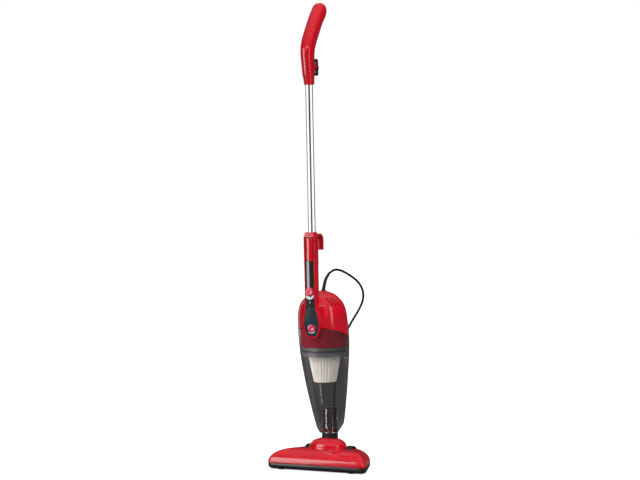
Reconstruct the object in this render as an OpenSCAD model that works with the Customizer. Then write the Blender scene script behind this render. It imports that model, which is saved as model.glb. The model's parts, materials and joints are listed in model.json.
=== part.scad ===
// Upright stick vacuum cleaner: floor head, tilting neck, clear dust cup, motor housing, rod and handle.
// The floor is Z = 0, the front of the cleaner faces -Y, and X = 0 is its mirror plane.

/* [Stance] */
// Forward lean of the hand unit when parked, in degrees
lean_angle = 2.7; // [0:0.1:4]
// Distance of the tilt pivot behind the origin
pivot_y = 38; // [34:1:42]
// Height of the tilt pivot above the floor
pivot_z = 40; // [38:1:46]

/* [Floor head] */
// Width of the head at its front
head_w = 258; // [220:1:310]
// Width of the head at its back
head_back_w = 202; // [180:1:230]
// Distance from the origin forward to the front edge
head_front = 54; // [48:1:65]
// Distance from the origin back to the rear edge
head_back = 62; // [60:1:70]
// Height of the underside above the floor
sole_z = 2; // [1.5:0.5:4]
// Height of the seam between base and cover
band_z = 16; // [14:1:20]
// Height of the top of the cover
cover_z = 50; // [46:1:56]
// Wall of the head mouldings
head_wall = 2.4; // [2:0.1:3]
// Width of the suction slot
slot_w = 216; // [150:1:230]
// Front to back size of the suction slot
slot_l = 19; // [12:1:24]
// Height of the neck cover above the floor
dome_z = 75; // [72:1:80]
// Half width of the neck cover
dome_a = 46; // [44:1:50]
// Half length of the neck cover
dome_b = 37; // [34:1:40]

/* [Wheels] */
// Radius of a rear wheel
wheel_r = 28; // [22:1:32]
// Width of a rear wheel
wheel_w = 15.5; // [10:0.5:20]
// Distance of a wheel's inner face from the middle
wheel_in = 47; // [47:0.5:54]
// Radius of the wheel axles
axle_r = 4; // [3:0.1:5]
// Radius of a front roller
roller_r = 4; // [3:0.1:5]
// Width of a front roller
roller_w = 12; // [8:1:16]
// Distance of a front roller from the middle
roller_x = 93; // [85:1:100]

/* [Neck] */
// Outer radius of the neck
neck_r = 20; // [19:0.5:21]
// Radius of the hollow tilt barrel
barrel_r = 17; // [15:0.5:18]
// Half length of the tilt barrel
barrel_half = 22; // [18:0.5:23]
// Radius of the tilt pins
pin_r = 4; // [3:0.1:5]
// Height of the neck's rim above the pivot
neck_top = 47.6; // [44:0.1:50]

/* [Dust cup] */
// Largest radius of the hand unit
body_r = 62; // [54:1:70]
// Distance of the flat back line behind the unit's axis
body_back = 39.5; // [36:0.5:44]
// Height of the motor dome above the cup's floor
body_h = 349; // [300:1:400]
// Height of the joint between cup and housing above the cup's floor, on the joint's own axis
joint_h = 243; // [225:1:255]
// Slope of the joint, high at the front
joint_slope = 18.9; // [10:0.1:22]
// Wall of the cup
cup_wall = 2.4; // [1.8:0.1:3]
// Outer radius of the inlet spigot
spigot_r = 17; // [14:0.5:17.5]
// Wall of the inlet duct
duct_wall = 2.3; // [1.5:0.1:3]
// Height of the inlet duct above the cup's floor
duct_h = 58; // [45:1:75]

/* [Filter] */
// Height of the filter frame
frame_h = 22; // [16:1:26]
// Radius of the pleated cone at its top
cone_top_r = 40; // [30:1:42]
// Radius of the pleated cone at its bottom
cone_low_r = 28; // [20:1:32]
// Height of the pleated cone
cone_h = 62; // [45:1:75]
// Number of pleats
pleats = 30; // [20:2:40]

/* [Motor housing] */
// Wall of the housing shells
shell_wall = 2.6; // [2:0.1:3.2]
// Radius of the motor can
can_r = 30; // [24:1:33]
// Height of the motor can
can_h = 52; // [40:1:56]
// Radius of the fan
fan_r = 40; // [32:1:44]
// Radius of the motor shaft
shaft_r = 3; // [2:0.1:4]

/* [Grip] */
// Distance of the rod in front of the unit's axis
rod_y = 80.5; // [76:0.5:84]
// Half width of the grip
grip_half = 14.5; // [13:0.5:17]
// Distance from the rod's axis to the grip's front face
grip_front = 19; // [18:0.5:22]
// Height of the grip's top above the pivot
grip_top = 540; // [500:1:580]
// Depth of the inlay that carries the controls
inlay_t = 3; // [2:0.1:4]

/* [Rod and handle] */
// Radius of the steel rod
rod_r = 9; // [7:0.5:10]
// Wall of the steel rod
rod_wall = 1; // [0.8:0.1:1.5]
// Length of the rod held in the grip
rod_in_grip = 104; // [80:1:110]
// Visible length of the rod
rod_free = 357; // [250:1:430]
// Length of the rod held in the handle
rod_in_handle = 52; // [40:1:60]
// Wall of the handle shells
handle_wall = 2.4; // [2:0.1:3]

/* [Cord] */
// Diameter of the supply cord
cord_d = 6; // [5:0.5:7]
// Real length of the supply cord
cord_length = 5000; // [4500:100:5500]
// Turns laid in the stored coil
coil_columns = 4; // [3:1:5]
// Layers of the stored coil
coil_layers = 4; // [3:1:5]

/* [Fits] */
// Radial clearance of shafts and pins that turn
run_fit = 0.05; // [0.02:0.01:0.1]
// Gap between pieces that slide or swing past each other
move_gap = 0.4; // [0.3:0.05:0.6]
// Clearance of screws in their holes
screw_fit = 0.05; // [0.02:0.01:0.1]

/* [Hidden] */
$fn = 48;

red = [0.80, 0.05, 0.10];
black = [0.06, 0.06, 0.07];
smoke = [0.25, 0.23, 0.26, 0.55];
slate = [0.20, 0.24, 0.26];
ivory = [0.88, 0.85, 0.80];
steel = [0.80, 0.80, 0.82];
big = 600;

// ---------- general shapes ----------

function lerp(a, b, t) = a + (b - a) * t;

function spline(p0, p1, p2, p3, t) = 0.5 * (2 * p1 + (p2 - p0) * t
    + (2 * p0 - 5 * p1 + 4 * p2 - p3) * t * t + (3 * p1 - p0 - 3 * p2 + p3) * t * t * t);

// A smooth list through rows of numbers, with a count of steps between each two rows
function smooth(rows, steps) = concat([for (i = [0:len(rows) - 2], k = [0:steps - 1])
    spline(rows[max(i - 1, 0)], rows[i], rows[i + 1], rows[min(i + 2, len(rows) - 1)], k / steps)],
    [rows[len(rows) - 1]]);

function column(rows, i) = [for (r = rows) [r[0], r[i]]];

function circle_ring(r, yc, z, sides) = [for (i = [0:sides - 1])
    [r * cos(360 * i / sides), yc + r * sin(360 * i / sides), z]];

function arc(c, r, a0, a1, n) = [for (i = [0:n]) [c[0] + r * cos(lerp(a0, a1, i / n)),
    c[1] + r * sin(lerp(a0, a1, i / n))]];

// A closed solid through rings that hold the same number of points and run anticlockwise
module loft(rings) {
    n = len(rings[0]);
    m = len(rings);
    sides = [for (k = [0:m - 2], i = [0:n - 1], h = [0:1])
        h == 0 ? [k * n + i, (k + 1) * n + i, (k + 1) * n + (i + 1) % n]
               : [k * n + i, (k + 1) * n + (i + 1) % n, k * n + (i + 1) % n]];
    ends = [[for (i = [0:n - 1]) i], [for (i = [0:n - 1]) m * n - 1 - i]];
    polyhedron(points = [for (r = rings) each r], faces = concat(sides, ends));
}

// A round bar along points that lie on a smooth line, from one radius to another
module sweep(line, r, sides, end_r = 0) {
    m = len(line);
    loft([for (k = [0:m - 1]) let (
        t = line[min(k + 1, m - 1)] - line[max(k - 1, 0)],
        u = t / norm(t),
        e = cross([0.5, -0.8, 0.33], u),
        x = e / norm(e),
        y = cross(u, x))
        [for (i = [0:sides - 1]) line[k] + lerp(r, end_r > 0 ? end_r : r, k / (m - 1))
            * (cos(360 * i / sides) * x + sin(360 * i / sides) * y)]]);
}

module tube(r, wall, h) {
    difference() {
        cylinder(r = r, h = h);
        translate([0, 0, -1]) cylinder(r = r - wall, h = h + 2);
    }
}

module x_cylinder(r, x0, x1) {
    translate([x0, 0, 0]) rotate([0, 90, 0]) cylinder(r = r, h = x1 - x0);
}

module y_cylinder(r, y0, y1) {
    translate([0, y0, 0]) rotate([-90, 0, 0]) cylinder(r = r, h = y1 - y0);
}

// A block from its lowest corner to its highest
module block(low, high) {
    translate(low) cube(high - low);
}

module coil_spring(r, wire_r, length, turns) {
    sweep([for (i = [0:turns * 10]) [r * cos(36 * i), r * sin(36 * i), wire_r + (length - 2 * wire_r)
        * i / (turns * 10)]], wire_r, 6);
}

// The hand unit's own frame: its origin is the tilt pivot and Z runs up the unit
module unit() {
    translate([0, pivot_y, pivot_z]) rotate([lean_angle, 0, 0]) children();
}

module sides() {
    children();
    mirror([1, 0, 0]) children();
}

// ---------- floor head ----------

side_angle = atan((head_w - head_back_w) / 2 / (head_front + head_back));
head_front_r = 17;
head_back_r = 12;
slot_y = -head_front + 15;
well_in = wheel_in - 2;
well_out = wheel_in + wheel_w + 2;
well_y = pivot_y + 1 - wheel_r - 3;
axle_y = pivot_y + 1;
pod_top = 36;
floor_t = 3;
post_in = barrel_half + 4;
post_split = post_in + 7.5;
roller_y = -head_front + 7.5;
head_screw_places = [[100, -6], [84, 46]];
screw_r = 1.5;
channel_top = 20;
duct_half = 16;

function head_ring(front, side, back, z) = let (
    rf = head_front_r - side / 10,
    rb = head_back_r - back / 4,
    fx = head_w / 2 - side - rf,
    bx = head_back_w / 2 - side - rb,
    fy = -head_front + front + rf,
    by = head_back - back - rb,
    right = concat(arc([fx, fy], rf, -90, side_angle, 5), arc([bx, by], rb, side_angle, 90, 4)),
    n = len(right))
    [for (i = [0:2 * n - 1]) i < n ? [right[i][0], right[i][1], z]
        : [-right[2 * n - 1 - i][0], right[2 * n - 1 - i][1], z]];

module head_prism(inset, z0, z1) {
    loft([head_ring(inset, inset, inset, z0), head_ring(inset, inset, inset, z1)]);
}

// The cover rises as a soft pillow: steep at the back, rounded at the front and long at the sides
module pillow(inset, z0) {
    rounding = 2 / 2.2;
    loft([for (k = [0:8]) let (
        a = 11.25 * k,
        c = 1 - pow(cos(min(a, 89.9)), rounding),
        z = lerp(z0, cover_z - inset, pow(sin(a), rounding)))
        head_ring(inset + 48 * c, inset + 58 * c, inset + 8 * c, z)]);
}

function dome_ring(grow, share, z) = [for (i = [0:35]) let (c = cos(10 * i), s = sin(10 * i))
    [(dome_a + grow) * share * sign(c) * pow(abs(c), 0.8),
    25 + (dome_b + grow) * share * sign(s) * pow(abs(s), 0.8), z]];

module dome(inset) {
    spring_z = cover_z + 1;
    loft(concat([dome_ring(-inset, 1, pod_top)],
        [for (k = [0:7]) let (a = 12.5 * k)
            dome_ring(-inset, pow(cos(a), 0.87), spring_z + (dome_z - inset - spring_z) * pow(sin(a), 0.87)
            / pow(sin(87.5), 0.87))]));
}

module head_base() {
    color(black) difference() {
        union() {
            loft([head_ring(5, 5, 3, sole_z), head_ring(0.8, 0.8, 0.8, sole_z + 5),
                head_ring(0.8, 0.8, 0.8, band_z)]);
            block([-40, -11, 0], [40, 16, sole_z + 1]);
            block([-well_in, 0, sole_z], [well_in, head_back - 1, pod_top]);
        }
        difference() {
            head_prism(3.2, sole_z + floor_t, big);
            block([-slot_w / 2 - 4, slot_y + slot_l + 2, 0], [slot_w / 2 + 4, slot_y + slot_l + 4, channel_top]);
            block([-well_in, 0, 0], [well_in, head_back - 1, pod_top]);
            sides() for (p = head_screw_places) translate([p[0], p[1], 0]) cylinder(r = 5.5, h = 9);
            sides() block([well_out, well_y, 0], [well_out + 2, head_back, band_z + 8]);
            sides() block([roller_x - roller_w / 2 - 5, roller_y - 3.4, 0], [roller_x + roller_w / 2 + 5,
                roller_y + 3.4, 9]);
        }
        block([-duct_half - 0.3, -1, sole_z + floor_t], [duct_half + 0.3, 3, 31]);
        block([-duct_half + 2, slot_y + slot_l, sole_z + floor_t + 2], [duct_half - 2, slot_y + slot_l + 9,
            channel_top]);
        block([-well_in + 2, 2, sole_z + floor_t], [well_in - 2, head_back - 3, big]);
        block([-slot_w / 2, slot_y, -1], [slot_w / 2, slot_y + slot_l, channel_top]);
        sides() block([well_in, well_y, -1], [well_out, head_back + 9, big]);
        sides() translate([0, roller_y, roller_r])
            block([roller_x - roller_w / 2 - 1, -roller_r - 0.8, -9], [roller_x + roller_w / 2 + 1, roller_r + 0.8, 5]);
        sides() translate([0, roller_y, roller_r]) x_cylinder(1.2, roller_x - roller_w / 2 - 4, roller_x
            + roller_w / 2 + 4);
        sides() for (p = head_screw_places) translate([p[0], p[1], 0]) {
            cylinder(r = screw_r + screw_fit, h = 30);
            cylinder(r = 3.3, h = 5);
        }
        block([-neck_r - 3, head_back - 12, sole_z + floor_t], [neck_r + 3, head_back + 1, big]);
        translate([0, axle_y, wheel_r]) x_cylinder(axle_r, -well_in - 1, well_in + 1);
    }
    color(black) sides() difference() {
        union() {
            block([post_in, pivot_y - 9, sole_z + floor_t], [post_split + 2, pivot_y + 9, pivot_z]);
            block([post_split, pivot_y - 9, sole_z + floor_t], [well_in - 2, pivot_y + 9, pod_top - 1]);
        }
        translate([0, pivot_y, pivot_z]) x_cylinder(pin_r + run_fit, 0, post_split);
        translate([0, axle_y, wheel_r]) x_cylinder(axle_r, 0, well_in);
    }
}

module head_cover() {
    color(red) difference() {
        union() {
            difference() {
                pillow(0, band_z);
                translate([0, 0, -0.01]) pillow(head_wall, band_z);
            }
            intersection() {
                pillow(0.3, band_z - 3);
                sides() for (p = head_screw_places) translate([p[0], p[1], 9.2]) cylinder(r = 4.5, h = 60);
            }
        }
        loft([dome_ring(move_gap, 1, 0), dome_ring(move_gap, 1, big)]);
        block([-well_out, pivot_y - 10, 0], [well_out, big, big]);
        sides() block([well_in, well_y, 0], [well_out, big, big]);
        sides() for (p = head_screw_places) translate([p[0], p[1], 0]) cylinder(r = screw_r + screw_fit, h = 22);
    }
}

module neck_cover() {
    slot_front = pivot_y - neck_r - (dome_z - pivot_z) * tan(lean_angle) - move_gap - 0.3;
    color(red) difference() {
        dome(0);
        translate([0, 0, -0.01]) dome(head_wall);
        block([-neck_r - 1.5, slot_front, 0], [neck_r + 1.5, big, big]);
    }
}

module air_duct() {
    start_y = slot_y + slot_l + 4;
    color(black) difference() {
        union() {
            block([-slot_w / 2 - 3, -head_front + 12, channel_top], [slot_w / 2 + 3, start_y, channel_top + 2.4]);
            block([-duct_half, start_y, sole_z + floor_t], [duct_half, pivot_y - 4, channel_top + 2.4]);
            block([-duct_half, start_y + 26, sole_z + floor_t], [duct_half, pivot_y - 4, 30]);
        }
        block([-duct_half + 2, start_y - 1, sole_z + floor_t + 2], [duct_half - 2, pivot_y, channel_top]);
        block([-duct_half + 2, start_y + 28, sole_z + floor_t + 2], [duct_half - 2, pivot_y, 28]);
        translate([0, pivot_y, pivot_z]) x_cylinder(barrel_r + move_gap, -duct_half - 1, duct_half + 1);
    }
}

module front_brush() {
    color(black) block([-slot_w / 2 + 1, slot_y, 0.6], [slot_w / 2 - 1, slot_y + 2.4, 12]);
}

module rear_lint_strip() {
    color([0.5, 0.05, 0.08]) block([-slot_w / 2 + 1, slot_y + slot_l - 3.2, 0.6],
        [slot_w / 2 - 1, slot_y + slot_l, 9]);
}

module wheel() {
    color(black) translate([0, axle_y, wheel_r]) difference() {
        x_cylinder(wheel_r, wheel_in, wheel_in + wheel_w);
        x_cylinder(axle_r + run_fit, 0, 99);
        difference() {
            x_cylinder(wheel_r - 5, wheel_in + wheel_w - 3, 99);
            x_cylinder(9, 0, 99);
        }
        difference() {
            x_cylinder(wheel_r + 1, wheel_in + wheel_w / 2 - 1, wheel_in + wheel_w / 2 + 1);
            x_cylinder(wheel_r - 1.2, 0, 99);
        }
    }
}

module wheel_left() mirror([1, 0, 0]) wheel();

module wheel_right() wheel();

module wheel_axle() {
    color(steel) translate([0, axle_y, wheel_r]) {
        x_cylinder(axle_r, post_in + 1, wheel_in + wheel_w + 0.4);
        x_cylinder(axle_r + 3, wheel_in + wheel_w + 0.4, wheel_in + wheel_w + 2);
    }
}

module wheel_axle_left() mirror([1, 0, 0]) wheel_axle();

module wheel_axle_right() wheel_axle();

module roller() {
    color(black) translate([0, roller_y, roller_r]) difference() {
        x_cylinder(roller_r, roller_x - roller_w / 2, roller_x + roller_w / 2);
        x_cylinder(1.2 + run_fit, 0, 199);
    }
}

module roller_left() mirror([1, 0, 0]) roller();

module roller_right() roller();

module roller_pins() {
    color(steel) sides() translate([0, roller_y, roller_r])
        x_cylinder(1.2, roller_x - roller_w / 2 - 3, roller_x + roller_w / 2 + 3);
}

module pivot_caps() {
    color(black) sides() difference() {
        block([post_in, pivot_y - 9, pivot_z], [post_split + 2, pivot_y + 9, pivot_z + 8]);
        translate([0, pivot_y, pivot_z]) x_cylinder(pin_r + run_fit, 0, post_split);
    }
}

module head_screws() {
    color(steel) sides() for (p = head_screw_places) translate([p[0], p[1], 0]) {
        translate([0, 0, 2.8]) cylinder(r = 2.9, h = 2.2);
        translate([0, 0, 4.9]) cylinder(r = screw_r, h = 15);
    }
}

// ---------- neck ----------

socket_floor = 18;

module neck_socket() {
    color(black) unit() difference() {
        union() {
            translate([0, 0, 12]) cylinder(r = neck_r, h = neck_top - 12);
            x_cylinder(barrel_r, -barrel_half, barrel_half);
            x_cylinder(pin_r, -post_split + 0.3, post_split - 0.3);
        }
        translate([0, 0, socket_floor]) cylinder(r = spigot_r + 0.1, h = 60);
        cylinder(r = spigot_r - duct_wall - 0.4, h = 60);
        x_cylinder(barrel_r - 3, -barrel_half + 3, barrel_half - 3);
        rotate([45, 0, 0]) block([-13, -40, -11], [13, 0, 11]);
        block([-7.4, 11, 26.6], [7.4, 40, 45.4]);
    }
}

module neck_seal() {
    color(black) unit() translate([0, 0, socket_floor]) tube(spigot_r, duct_wall, 0.9);
}

module neck_latch() {
    color(black) unit() {
        block([-7, neck_r - 3.8, 27], [7, neck_r + 3.6, 45]);
        block([-9, neck_r + 1.6, 25], [9, neck_r + 4.6, 51]);
    }
}

// ---------- hand unit outline ----------

cup_floor = 48;
dome_top = cup_floor + body_h;

// Rows of height share, radius share, and how far the back line steps in as a share of the radius
body_shape = [[0, 0.37, 0.355], [0.034, 0.49, 0.202], [0.063, 0.565, 0.073], [0.135, 0.645, 0.037],
    [0.292, 0.787, 0.016], [0.436, 0.892, 0.008], [0.564, 0.968, 0], [0.693, 1, 0.032],
    [0.808, 0.976, 0.137], [0.865, 0.94, 0.2], [0.917, 0.839, 0.33], [0.954, 0.661, 0.492],
    [0.98, 0.435, 0.629], [1, 0.129, 0.911]];
body_rows = [for (s = smooth(body_shape, 2)) [cup_floor + body_h * s[0], body_r * s[1],
    body_back - body_r * s[2] - body_r * s[1]]];
function unit_r(z) = lookup(z, column(body_rows, 1));
function unit_yc(z) = lookup(z, column(body_rows, 2));

module body_solid(inset, low) {
    loft([for (s = body_rows) if (s[0] - low > -0.001 && s[1] > inset + 1)
        circle_ring(s[1] - inset, s[2], s[0] - (s[0] > dome_top - 20 ? inset * 0.7 : 0), 40)]);
}

joint_z = cup_floor + joint_h;
joint_y = -24;

// Everything under the sloping joint between cup and housing, moved up along the unit by shift
module below_joint(shift) {
    translate([0, joint_y, joint_z + shift]) rotate([-joint_slope, 0, 0]) block([-big, -big, -big], [big, big, 0]);
}

// ---------- dust cup ----------

duct_top = cup_floor + duct_h;
flap_z = duct_top + 0.3;
flap_pin_y = spigot_r + 3;

module dust_cup() {
    color(smoke) unit() difference() {
        intersection() {
            body_solid(0, 0);
            below_joint(-0.25);
        }
        intersection() {
            body_solid(cup_wall, 0);
            translate([0, 0, cup_floor + cup_wall]) block([-big, -big, 0], [big, big, big]);
        }
        cylinder(r = spigot_r, h = cup_floor + 10);
        translate([0, 0, -move_gap]) loft([for (s = spine_rows) if (s[0] < joint_z + 34)
            spine_ring(s[1] + move_gap, face_y(s[0]) - 9, s[0])]);
    }
}

module cup_duct() {
    color(smoke) unit() difference() {
        union() {
            translate([0, 0, socket_floor + 1.1]) cylinder(r = spigot_r, h = duct_top - socket_floor - 1.1);
            sides() block([5.5, spigot_r - 4, duct_top - 14], [9, flap_pin_y + 3, flap_z + 4]);
        }
        cylinder(r = spigot_r - duct_wall, h = big);
        block([-7.8, spigot_r - 4.3, 0], [7.8, 30, cup_floor - 0.2]);
        translate([0, flap_pin_y, flap_z + 1]) x_cylinder(1.5 + run_fit, -20, 20);
        translate([0, 0, flap_z - 0.01]) cylinder(r = spigot_r + 0.8, h = 10);
    }
}

module inlet_flap() {
    color(black) unit() {
        difference() {
            translate([0, 0, flap_z]) cylinder(r = spigot_r, h = 1.6);
            block([-10, spigot_r - 3, 0], [10, 60, big]);
        }
        block([-5, spigot_r - 3.2, flap_z], [5, flap_pin_y, flap_z + 1.6]);
        translate([0, flap_pin_y, flap_z + 1]) x_cylinder(1.5, -8.6, 8.6);
    }
}

// ---------- filter ----------

skirt_z = cup_floor + 214.6;
frame_top = skirt_z - 0.6;
frame_z = frame_top - frame_h;
frame_y = min(unit_yc(frame_z), unit_yc(frame_top)) - 0.4;
frame_r = unit_r(frame_z) - cup_wall - 2.9;
cone_z = frame_z - cone_h;
collar_r = frame_r - 1.5;

module filter_frame() {
    color(slate) unit() translate([0, frame_y, 0]) {
        difference() {
            union() {
                translate([0, 0, frame_z]) cylinder(r = frame_r, h = frame_h);
                translate([0, 0, frame_z]) cylinder(r = collar_r - 2.2, h = frame_h + 4.2);
            }
            translate([0, 0, frame_z - 1]) cylinder(r = cone_top_r - 4, h = big);
            translate([0, 0, frame_z + 10]) difference() {
                cylinder(r = frame_r + 1, h = 5);
                translate([0, 0, -1]) cylinder(r = frame_r - 2, h = 7);
            }
        }
    }
}

module cup_seal() {
    color(black) unit() translate([0, frame_y, frame_z + 10]) difference() {
        cylinder(r = frame_r + 0.8, h = 5);
        translate([0, 0, -1]) cylinder(r = frame_r - 2, h = 7);
    }
}

module pleated_filter() {
    deep = 4;
    outline = [for (i = [0:2 * pleats - 1]) let (r = cone_top_r - deep * (i % 2), a = 180 * i / pleats)
        [r * cos(a), r * sin(a)]];
    low = cone_low_r / cone_top_r;
    color(ivory) unit() translate([0, frame_y, 0]) difference() {
        loft([for (k = [0:1]) [for (p = outline) [p[0] * lerp(low, 1, k), p[1] * lerp(low, 1, k),
            cone_z + cone_h * k]]]);
        translate([0, 0, cone_z + 1]) cylinder(r = cone_low_r - 7, h = cone_h);
    }
}

module filter_cap() {
    color(ivory) unit() translate([0, frame_y, cone_z - 3]) cylinder(r = cone_low_r, h = 3);
}

// ---------- motor housing and grip ----------

skirt_wall = 2;
skirt_y = frame_y;
skirt_r = min(unit_r(skirt_z) - cup_wall - abs(unit_yc(skirt_z) - skirt_y), frame_r + 3) - 0.6;
spine_low = cup_floor + 233;
spine_full = 388;
front_y = -rod_y - grip_front;

// Rows of height, half width of the grip's front, and half width of its inlay
spine_shape = [[spine_low, 8, 3], [spine_low + 4, 12.5, 7], [spine_low + 11, 15.5, 11.4],
    [spine_low + 24, 20.5, 17], [spine_low + 43, 23.5, 19.8], [spine_low + 62, 20, 16],
    [spine_low + 80, 16, 12.2], [spine_full, grip_half, 11.3], [grip_top - 8, grip_half, 11.3],
    [grip_top, grip_half - 0.6, 10.5]];
spine_rows = smooth(spine_shape, 2);
function spine_half(z) = lookup(z, column(spine_rows, 1));
function inlay_half(z) = lookup(z, column(spine_rows, 2));
function face_y(z) = lookup(z, [[spine_low, front_y + 7.5], [spine_full, front_y], [big, front_y]]);

function spine_ring(w, f, z) = concat([[-w, -rod_y, z], [-w, f + 4, z], [-w + 1.3, f + 1.3, z], [-w + 4, f, z],
    [w - 4, f, z], [w - 1.3, f + 1.3, z], [w, f + 4, z]],
    [for (i = [0:9]) [w * cos(18 * i), -rod_y + grip_half * sin(18 * i), z]]);

module spine() {
    loft([for (s = spine_rows) spine_ring(s[1], face_y(s[0]), s[0])]);
}

// A strip that follows the grip's face: its back lies depth behind the face, and it stands out by proud
module strip(z0, z1, less, depth, proud) {
    zs = concat([z0], [for (s = spine_rows) if (s[0] > z0 + 1 && s[0] < z1 - 1) s[0]], [z1]);
    loft([for (z = zs) let (w = inlay_half(z) - less, f = face_y(z) - proud, b = face_y(z) + depth)
        [[-w, b, z], [-w, f, z], [w, f, z], [w, b, z]]]);
}

rod_low = grip_top - rod_in_grip;
button_low = 474.3;
button_top = 529.3;
knob_z = 400;
cup_button_z = 312;
joint_seam = 361;
inlay_low = spine_low + 7;
inlay_top = grip_top - 6;
inner_face = shell_wall + inlay_t;
screw_spots = [[17, 318], [-71, 378], [-rod_y + 1, 428]];
boss_r = 4.5;
hook_arm_y = -rod_y + grip_half;
motor_y = -30;
seat_depth = 13.5;
knob_travel = 6;
relief_foot = [0, -21, dome_top + 1];
shroud_z = cup_floor + 222;
can_z = shroud_z + 23;

hook_half = 12.5;

module lower_hook() {
    block([-hook_half, hook_arm_y - 4, grip_top - 9], [hook_half, hook_arm_y + 25, grip_top - 2]);
    block([-hook_half, hook_arm_y + 19, grip_top - 42], [hook_half, hook_arm_y + 25, grip_top - 2]);
}

module vents() {
    for (side = [-1, 1], k = [0:2])
        translate([0, motor_y, dome_top - 22]) rotate([0, 0, side * (44 + 11 * k) - 90]) rotate([side * 32, 0, 0])
            block([20, -1.3, -13], [80, 1.3, 9]);
}

// The hollow of the shells: it keeps the screw bosses and a ledge that joins shell and skirt
module housing_hollow() {
    difference() {
        body_solid(shell_wall, joint_z - 60);
        for (s = screw_spots) translate([0, s[0], s[1]]) x_cylinder(boss_r, -80, 80);
        difference() {
            below_joint(3);
            translate([0, skirt_y, skirt_z - 1]) cylinder(r = skirt_r - skirt_wall, h = 90);
        }
    }
    difference() {
        union() {
            strip(inlay_low + 3, spine_low + 50, 0.6, seat_depth, -inner_face);
            strip(spine_low + 49, rod_low - 3, 0.6, 30, -inner_face);
        }
        for (s = screw_spots) translate([0, s[0], s[1]]) x_cylinder(boss_r, -80, 80);
    }
}

module housing() {
    difference() {
        union() {
            difference() {
                body_solid(0, joint_z - 60);
                below_joint(0.25);
            }
            spine();
            lower_hook();
            intersection() {
                translate([0, skirt_y, skirt_z]) cylinder(r = skirt_r, h = 60);
                body_solid(cup_wall + 0.5, joint_z - 60);
            }
        }
        housing_hollow();
        strip(inlay_low, inlay_top, 0, inlay_t, 9);
        block([-9.9, front_y, button_low - 0.6], [9.9, front_y + inlay_t + 3.4, button_top + 0.6]);
        translate([0, -rod_y, rod_low]) cylinder(r = rod_r + 0.1, h = big);
        for (dz = [0, -knob_travel]) translate([0, 0, knob_z + dz]) y_cylinder(6.6, front_y, front_y + 8);
        translate([0, 0, cup_button_z]) y_cylinder(11.2, front_y, front_y + 16);
        vents();
        translate([0, relief_foot[1], dome_top - 12]) cylinder(r = 5.2, h = 40);
        for (s = screw_spots) translate([0, s[0], s[1]]) {
            x_cylinder(screw_r + screw_fit, -60, 12.5);
            x_cylinder(3.2, -80, -9.9);
        }
    }
}

// The ledge inside the left shell that the cup release spring stands on
module spring_seat() {
    seat_y = face_y(cup_button_z) + seat_depth;
    block([-8, seat_y, cup_button_z - 8], [0, seat_y + 3, cup_button_z + 7]);
}

module housing_left() {
    color(red) unit() {
        intersection() {
            housing();
            block([-big, -big, 0], [0, big, 2 * big]);
        }
        spring_seat();
    }
}

module housing_right() {
    color(red) unit() intersection() {
        housing();
        block([0, -big, 0], [big, big, 2 * big]);
    }
}

module grip_inlay() {
    color(black) unit() difference() {
        strip(joint_seam + 0.3, inlay_top - 0.3, 0.25, inlay_t - 0.1, -0.3);
        block([-9.9, -200, button_low - 0.3], [9.9, 0, button_top + 0.3]);
        for (dz = [0, -knob_travel]) translate([0, 0, knob_z + dz]) y_cylinder(6.6, front_y - 2, front_y + 9);
    }
}

module lower_panel() {
    color(slate) unit() difference() {
        strip(inlay_low + 0.3, joint_seam - 0.3, 0.25, inlay_t - 0.1, -0.3);
        translate([0, 0, cup_button_z]) y_cylinder(11.2, -200, 0);
    }
}

module power_knob() {
    color(red) unit() translate([0, 0, knob_z]) {
        y_cylinder(10.8, front_y - 2.6, front_y - 0.1);
        y_cylinder(5.5, front_y - 0.2, front_y + 8);
    }
}

module switch_body() {
    color(black) unit() block([-8, front_y + 8.6, knob_z - 16], [8, front_y + 20, knob_z + 10]);
}

module cup_release_button() {
    face = face_y(cup_button_z);
    color(red) unit() translate([0, 0, cup_button_z]) {
        y_cylinder(10.7, face - 1.6, face + 4.6);
        difference() {
            y_cylinder(5, face + 4.5, face + 8);
            y_cylinder(3.6, face + 5, face + 9);
        }
    }
}

module cup_release_spring() {
    color(steel) unit() translate([0, face_y(cup_button_z) + 5, cup_button_z]) rotate([-90, 0, 0])
        coil_spring(2.8, 0.4, seat_depth - 5, 3);
}

module rod_release_button() {
    color(red) unit() {
        block([-9.6, front_y - 0.7, button_low], [9.6, front_y + 1.2, button_top]);
        block([-8.8, front_y + 1.1, button_low + 0.4], [8.8, front_y + 3.4, button_top - 0.4]);
    }
}

module rod_release_spring() {
    color(steel) unit() translate([0, front_y + 3.4, (button_low + button_top) / 2]) rotate([-90, 0, 0])
        coil_spring(3.2, 0.4, inlay_t, 2);
}

module inlet_grille() {
    color(black) unit() translate([0, skirt_y, skirt_z + 4.8]) difference() {
        cylinder(r = skirt_r - skirt_wall, h = 2);
        for (k = [-3:3]) block([-cone_top_r + 8, 8 * k - 2, -1], [cone_top_r - 8, 8 * k + 2, 3]);
    }
}

module fan_shroud() {
    color(steel) unit() translate([0, motor_y, shroud_z]) difference() {
        cylinder(r = fan_r + 3, h = can_z - shroud_z - 0.5);
        translate([0, 0, 1.2]) cylinder(r = fan_r + 1.8, h = can_z - shroud_z - 2.9);
        translate([0, 0, -1]) cylinder(r = 13, h = 4);
        translate([0, 0, 9]) cylinder(r = shaft_r + 2, h = 40);
        for (a = [0:45:315]) rotate([0, 0, a]) translate([fan_r - 6, 0, 9]) cylinder(r = 3, h = 30);
    }
}

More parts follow.
